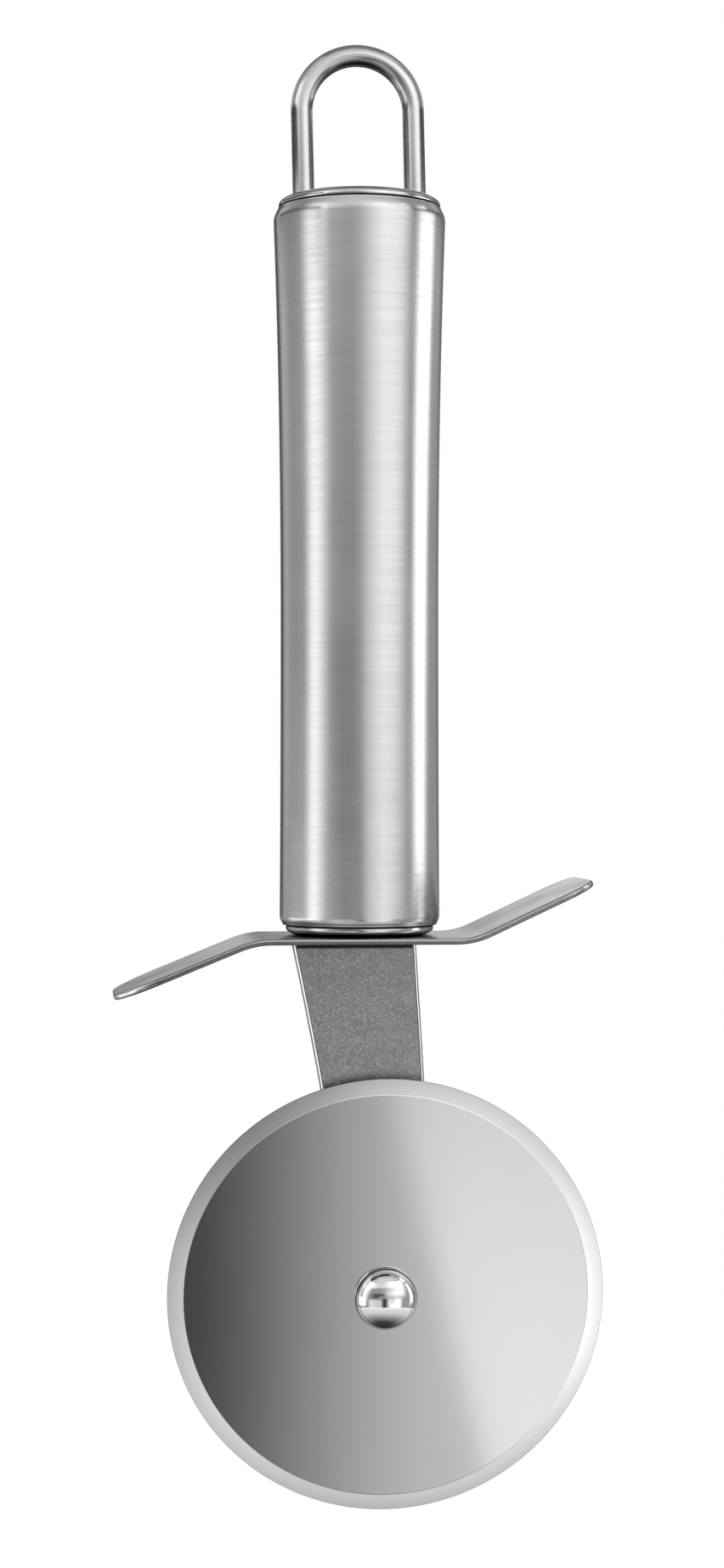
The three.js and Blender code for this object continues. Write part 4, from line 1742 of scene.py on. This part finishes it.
@dataclass
class Studio:
    """The floor, the white surroundings, the tent of cards and the lamp overhead.

    Attributes:
        floor_level: Height of the floor.
        floor_size: Its width.
        floor_tone: Its brightness, and floor_glow what it adds towards the camera.
        floor_roughness: Its blur.
        world_light: Strength of the surroundings for dull surfaces, and for the camera and metal.
        tent_radius: Radius of the tent.
        tent_top: Height of its lid.
        tent_sides: How many sides go round it, and end_sides round its lid and its foot.
        wall_tone: Brightness of its wall between the cards in shade and in light.
        side_turn: Turns from straight ahead where the wall's light at the sides starts and fades.
        front_height: Heights between which the wall's light ahead starts.
        front_turn: Turns where that light fades.
        back_turn: Azimuths where the wall's light behind starts and fades.
        back_height: Heights between which that light starts.
        back_tone: Its brightness under and above them.
        lid_depth: Places in Y between which the lid darkens towards the back.
        lid_tone: Its brightness there.
        foot_near: Distances from the middle of the foot where its light starts and is full.
        foot_tone: Its brightness there.
        foot_far: Distances from the middle where more light starts and is full.
        foot_more: How much more.
        foot_lift: How far the foot lies above the floor.
        lamp_power: Power of the lamp.
        lamp_place: Where it hangs.
        lamp_size: Its width.
        cards: The lit cards on the wall.
        flags: The small cards near the wire loop.
    """

    floor_level: float = -0.5
    floor_size: float = 12.0
    floor_tone: float = 0.86
    floor_glow: float = 0.3
    floor_roughness: float = 0.9
    world_light: Span = (0.8, 1.0)
    tent_radius: float = 0.6
    tent_top: float = 0.55
    tent_sides: int = 180
    end_sides: int = 96
    wall_tone: Span = (0.08, 0.42)
    side_turn: tuple[Span, Span] = ((15.0, 60.0), (130.0, 165.0))
    front_height: Span = (-0.17, 0.0)
    front_turn: Span = (90.0, 120.0)
    back_turn: tuple[Span, Span] = ((150.0, 172.0), (184.0, 192.0))
    back_height: Span = (-0.09, -0.03)
    back_tone: Span = (0.06, 0.4)
    lid_depth: Span = (-0.5, 0.3)
    lid_tone: Span = (0.9, 0.3)
    foot_near: Span = (0.05, 0.4)
    foot_tone: Span = (0.05, 0.95)
    foot_far: Span = (0.4, 0.6)
    foot_more: float = 0.25
    foot_lift: float = 0.01
    lamp_power: float = 5.0
    lamp_place: Point = (0.0, -0.1, 1.0)
    lamp_size: float = 0.9
    cards: tuple[SoftCard, ...] = (
        SoftCard("left", (-94, -73), (-72, -42), (-0.48, -0.36), (0.4, 0.55), 1.2, (0, 30), -0.01),
        SoftCard("ahead", (-17, 40), (46, 76), (-0.26, -0.1), (0.4, 0.55), 1.05, (0, 40)),
        SoftCard("right", (73, 90), (103, 116), (-0.5, -0.3), (0.13, 0.2), 2.0, (0, 60)),
        SoftCard("high_right", (80, 88), (100, 108), (0.22, 0.3), (0.55, 0.6), 6.5),
        SoftCard("high_ahead", (-50, -25), (25, 50), (0.095, 0.125), (0.5, 0.6), 0.5),
        SoftCard("high_left", (-62, -52), (-38, -24), (0.09, 0.11), (0.3, 0.4), 0.5),
        SoftCard("upper_left", (-120, -66), (-60, -46), (0.0, 0.1), (0.16, 0.24), 0.45),
        SoftCard("low_left", (-135, -120), (-80, -60), (-0.46, -0.4), (-0.22, -0.17), 1.2),
        SoftCard("low_ahead", (-36, -20), (25, 45), (-0.26, -0.22), (-0.2, -0.16), 0.1),
        SoftCard("low_ahead_right", (-6, 6), (25, 45), (-0.22, -0.18), (-0.1, 0.0), 0.4),
        SoftCard("low_ahead_left", (-24, -14), (-6, 6), (-0.26, -0.2), (-0.17, -0.14), 0.2),
        SoftCard("foot_left", (-58, -40), (-14, -5), (-0.55, -0.47), (-0.3, -0.2), 0.75),
        SoftCard("foot_ahead", (-1.1, 9.6), (32, 50), (-0.55, -0.47), (-0.26, -0.18), 0.8),
        SoftCard("foot_slanted", (9.3, 10.1), (32, 50), (-0.55, -0.5), (-0.45, -0.17), 0.5, (-25, 0), -0.44),
        SoftCard("foot_right", (19, 26), (38, 50), (-0.55, -0.47), (-0.26, -0.18), 0.35),
        SoftCard("low_back_right", (130, 150), (210, 230), (-0.4, -0.3), (-0.2, -0.14), 0.2),
        SoftCard("low_back_left", (-230, -210), (-150, -130), (-0.4, -0.3), (-0.2, -0.14), 0.2),
        SoftCard("back_line", (-181, -179), (-175, -168), (-0.3, -0.2), (0.0, 0.1), 0.45),
        SoftCard("back_left", (-153, -147), (-140, -118), (-0.2, -0.1), (0.2, 0.3), 0.18),
        SoftCard("upper_back_left", (-152, -146), (-138, -110), (0.03, 0.08), (0.3, 0.4), 0.3),
        SoftCard("upper_back_right", (112, 118), (130, 145), (0.03, 0.08), (0.3, 0.4), 0.3),
        SoftCard("back_right", (150, 160), (172, 177), (-0.3, -0.2), (0.0, 0.1), 0.15),
        SoftCard("upper_back", (160, 168), (176, 179), (-0.08, -0.03), (0.2, 0.3), 0.5),
    )
    flags: tuple[Flag, ...] = (
        Flag("left_flag", (-0.1, -0.07, -0.003), (-0.1, 0.12, 0.023), 0.06),
        Flag("right_flag", (0.1, -0.045, -0.003), (0.1, 0.12, 0.023), 0.1),
        Flag("shoulder_flag", (0.1, -0.045, 0.028), (0.1, 0.06, 0.12), 0.42),
        Flag("top_flag", (-0.025, -0.02, 0.05), (0.025, 0.04, 0.05), 0.18),
    )

    def seen(self, tree: bpy.types.NodeTree) -> Socket:
        """Which rays see a white background.

        Args:
            tree: The nodes of the world or of a material.

        Returns:
            1 for rays from the camera, from metal and through glass, and 0 for the rest.
        """
        path = tree.nodes.new("ShaderNodeLightPath")
        total = path.outputs["Is Camera Ray"]
        for name in ("Is Glossy Ray", "Is Transmission Ray"):
            node = tree.nodes.new("ShaderNodeMath")
            node.operation = "MAXIMUM"
            tree.links.new(total, node.inputs[0])
            tree.links.new(path.outputs[name], node.inputs[1])
            total = node.outputs[0]
        return total

    def build_world(self) -> None:
        """White surroundings for the camera and for metal, softer light for the floor."""
        world = bpy.data.worlds.new("studio_white")
        bpy.context.scene.world = world
        world.use_nodes = True
        tree = world.node_tree
        back = tree.nodes["Background"]
        back.inputs["Color"].default_value = WHITE
        level = tree.nodes.new("ShaderNodeMapRange")
        level.inputs["To Min"].default_value, level.inputs["To Max"].default_value = self.world_light
        tree.links.new(self.seen(tree), level.inputs["Value"])
        tree.links.new(level.outputs["Result"], back.inputs["Strength"])

    def build_floor(self) -> None:
        """A pale floor far under the hanging tool, white to the camera where no shadow falls."""
        reach = self.floor_size / 2
        corners = [(-reach, -reach), (reach, -reach), (reach, reach), (-reach, reach)]
        floor = object_from("studio_floor", [(x, y, self.floor_level) for x, y in corners], [range(4)])
        n = Nodes("pale_floor")
        n.set("Metallic", 0.0)
        n.set("Base Color", (*grey(self.floor_tone), 1.0))
        n.set("Roughness", self.floor_roughness)
        n.set("Emission Color", WHITE)
        n.set("Emission Strength", n.product(self.seen(n.tree), self.floor_glow))
        dress(floor, n.material)

    def card_light(self, n: Nodes, card: SoftCard, azimuth: Socket, height: Socket) -> Socket:
        """One card's light on the tent.

        Args:
            n: The tent's nodes.
            card: The card.
            azimuth: Azimuth of the point on the tent, in degrees.
            height: Its height in metres.

        Returns:
            The light there.
        """
        above = n.math("SUBTRACT", height, card.level)
        left, right = (n.math("SUBTRACT", azimuth, n.product(above, s)) for s in card.slant)
        light = n.product(
            n.spread(left, card.rise, (0.0, card.strength)),
            n.spread(right, card.fall, (1.0, 0.0)),
            n.spread(height, card.bottom, (0.0, 1.0)),
            n.spread(height, card.top, (1.0, 0.0)),
        )
        light.node.label = card.name
        return light

    def build_wall(self) -> None:
        """The tent's upright wall with its cards."""
        n = Nodes("tent_cards")
        x, y, height = (n.part(n.where, axis) for axis in "XYZ")
        azimuth = n.math("DEGREES", n.math("ARCTAN2", x, n.product(y, -1.0)))
        turn = n.math("ABSOLUTE", azimuth)
        round_turn = n.math("FLOORED_MODULO", azimuth, 360.0)
        on, off = (0.0, 1.0), (1.0, 0.0)
        side = n.product(n.spread(turn, self.side_turn[0], on), n.spread(turn, self.side_turn[1], off))
        front = n.product(n.spread(height, self.front_height, on), n.spread(turn, self.front_turn, off))
        light = n.spread(n.math("MAXIMUM", front, side), on, self.wall_tone)
        back = n.product(
            n.spread(round_turn, self.back_turn[0], on),
            n.spread(round_turn, self.back_turn[1], off),
            n.spread(height, self.back_height, self.back_tone),
        )
        light = n.math("MAXIMUM", light, back)
        light = n.total(light, *(self.card_light(n, card, azimuth, height) for card in self.cards))
        radius, sides = self.tent_radius, self.tent_sides
        ring = [(radius * sine, -radius * cosine) for cosine, sine in circle(sides)]
        vertices = [(*spot, level) for level in (self.floor_level, self.tent_top) for spot in ring]
        faces = ring_faces(range(sides), range(sides, 2 * sides))
        self.hang(object_from("tent_wall", vertices, faces), n, light)

    def build_ends(self) -> None:
        """The tent's lid, darker towards the back, and its foot, dark in the middle."""
        lid = Nodes("tent_lid")
        shade = lid.spread(lid.part(lid.where, "Y"), self.lid_depth, self.lid_tone)
        self.hang(self.round_card("tent_lid", self.tent_top), lid, shade)
        foot = Nodes("tent_foot")
        inputs = {0: foot.where, 1: (0.0, 0.0, self.floor_level)}
        distance = foot.made("ShaderNodeVectorMath", "Value", inputs, operation="DISTANCE")
        near = foot.spread(distance, self.foot_near, self.foot_tone)
        shade = foot.total(near, foot.spread(distance, self.foot_far, (0.0, self.foot_more)))
        self.hang(self.round_card("tent_foot", self.floor_level + self.foot_lift), foot, shade)

    def build_flags(self) -> None:
        """The small cards near the wire loop, each of one tone."""
        for flag in self.flags:
            n = Nodes(flag.name)
            self.hang(object_from(flag.name, flag.corners(), [range(4)]), n, flag.tone)

    def round_card(self, name: str, level: float) -> Piece:
        """A level round card as wide as the tent."""
        vertices = [(self.tent_radius * x, self.tent_radius * y, level) for x, y in circle(self.end_sides)]
        return object_from(name, vertices, [range(self.end_sides)])

    def hang(self, card: Piece, n: Nodes, light: Value) -> None:
        """Lights a card of the tent and hangs it, seen only in reflections and without a shadow.

        Args:
            card: The card.
            n: Its nodes.
            light: Its brightness, where 1 is white.
        """
        n.tree.nodes.remove(n.shader)
        glow = n.made("ShaderNodeEmission", 0, {"Strength": light})
        n.feed(n.tree.nodes["Material Output"].inputs["Surface"], glow)
        n.material.cycles.emission_sampling = "NONE"
        dress(card, n.material)
        for ray in ("camera", "diffuse", "shadow", "transmission", "volume_scatter"):
            setattr(card, f"visible_{ray}", False)

    def build_lamp(self) -> None:
        """A broad soft lamp overhead."""
        data = bpy.data.lights.new("overhead_lamp", "AREA")
        data.energy = self.lamp_power
        data.size = self.lamp_size
        lamp = bpy.data.objects.new("overhead_lamp", data)
        lamp.location = self.lamp_place
        bpy.context.scene.collection.objects.link(lamp)

    def build(self) -> None:
        """Sets up the whole studio."""
        bpy.context.scene.view_settings.view_transform = "Standard"
        self.build_world()
        self.build_floor()
        self.build_wall()
        self.build_ends()
        self.build_flags()
        self.build_lamp()


@dataclass(frozen=True)
class PhotoCamera:
    """The photograph's camera: level, a little to the left of straight ahead.

    Attributes:
        azimuth: How far to the right of straight ahead it stands, in degrees.
        distance: Its distance from the handle's axis.
        pixels_per_metre: Scale of the photograph at the handle's axis.
        axis_pixel: Column of the handle's axis.
        hook_pixel: Row of the hook point.
        sensor: Size of the sensor's long side, in millimetres.
        clip_start: The nearest distance that it sees.
    """

    azimuth: float = -5.3
    distance: float = 0.445
    pixels_per_metre: float = 7970.0
    axis_pixel: float = 423.0
    hook_pixel: float = 78.4
    sensor: float = 36.0
    clip_start: float = 0.01

    def build(self) -> None:
        """Makes the camera and hands it to the scene."""
        turn = math.radians(self.azimuth)
        right = Vector((math.cos(turn), math.sin(turn), 0))
        ahead = Vector((-math.sin(turn), math.cos(turn), 0))
        aside = (IMAGE_WIDTH / 2 - self.axis_pixel) / self.pixels_per_metre
        below = (IMAGE_HEIGHT / 2 - self.hook_pixel) / self.pixels_per_metre
        data = bpy.data.cameras.new("photo_camera")
        data.sensor_width = self.sensor
        data.lens = self.distance * self.pixels_per_metre * self.sensor / IMAGE_HEIGHT
        data.clip_start = self.clip_start
        camera = bpy.data.objects.new("photo_camera", data)
        camera.location = right * aside - ahead * self.distance - Vector((0, 0, below))
        camera.rotation_mode = "QUATERNION"
        camera.rotation_quaternion = ahead.to_track_quat("-Z", "Y")
        bpy.context.scene.collection.objects.link(camera)
        bpy.context.scene.camera = camera


def axle_frame() -> Matrix:
    """The wheel's axle as a frame.

    Returns:
        The frame at the axle's middle, with the dome towards -Y and X to the right.
    """
    joint = next(j for j in frame["joints"] if j["name"] == "wheel_spin")
    back = -Vector(joint["axis"]).normalized()
    right = Vector((1.0, 0.0, 0.0))
    up = right.cross(back)
    turn = Matrix((right, back, up)).transposed().to_4x4()
    return Matrix.Translation(joint["pos_m"]) @ turn


def dress_welds(finishes: FinishSet) -> None:
    """Gives the hidden weld beads of the construction their material.

    Args:
        finishes: The materials of the whole tool.
    """
    for name in ("loop_weld_left", "loop_weld_right", "tang_weld_front", "tang_weld_rear"):
        bead = frame["nodes"][name]
        dress(bead, finishes.weld)
        LOG.info("%s: construction piece, dressed", name)


def main() -> None:
    """Builds the studio and every piece of the tool, in order."""
    logging.basicConfig(level=logging.INFO, format="%(name)s: %(message)s")
    PhotoCamera().build()
    Studio().build()
    axle = axle_frame()
    shank = Shank(axle)
    finishes = FinishSet.make(shank.top)
    Handle().build(finishes)
    Guard().build(finishes)
    shank.build(finishes)
    Wheel(axle).build(finishes)
    dress_welds(finishes)


if __name__ == "__main__":
    main()
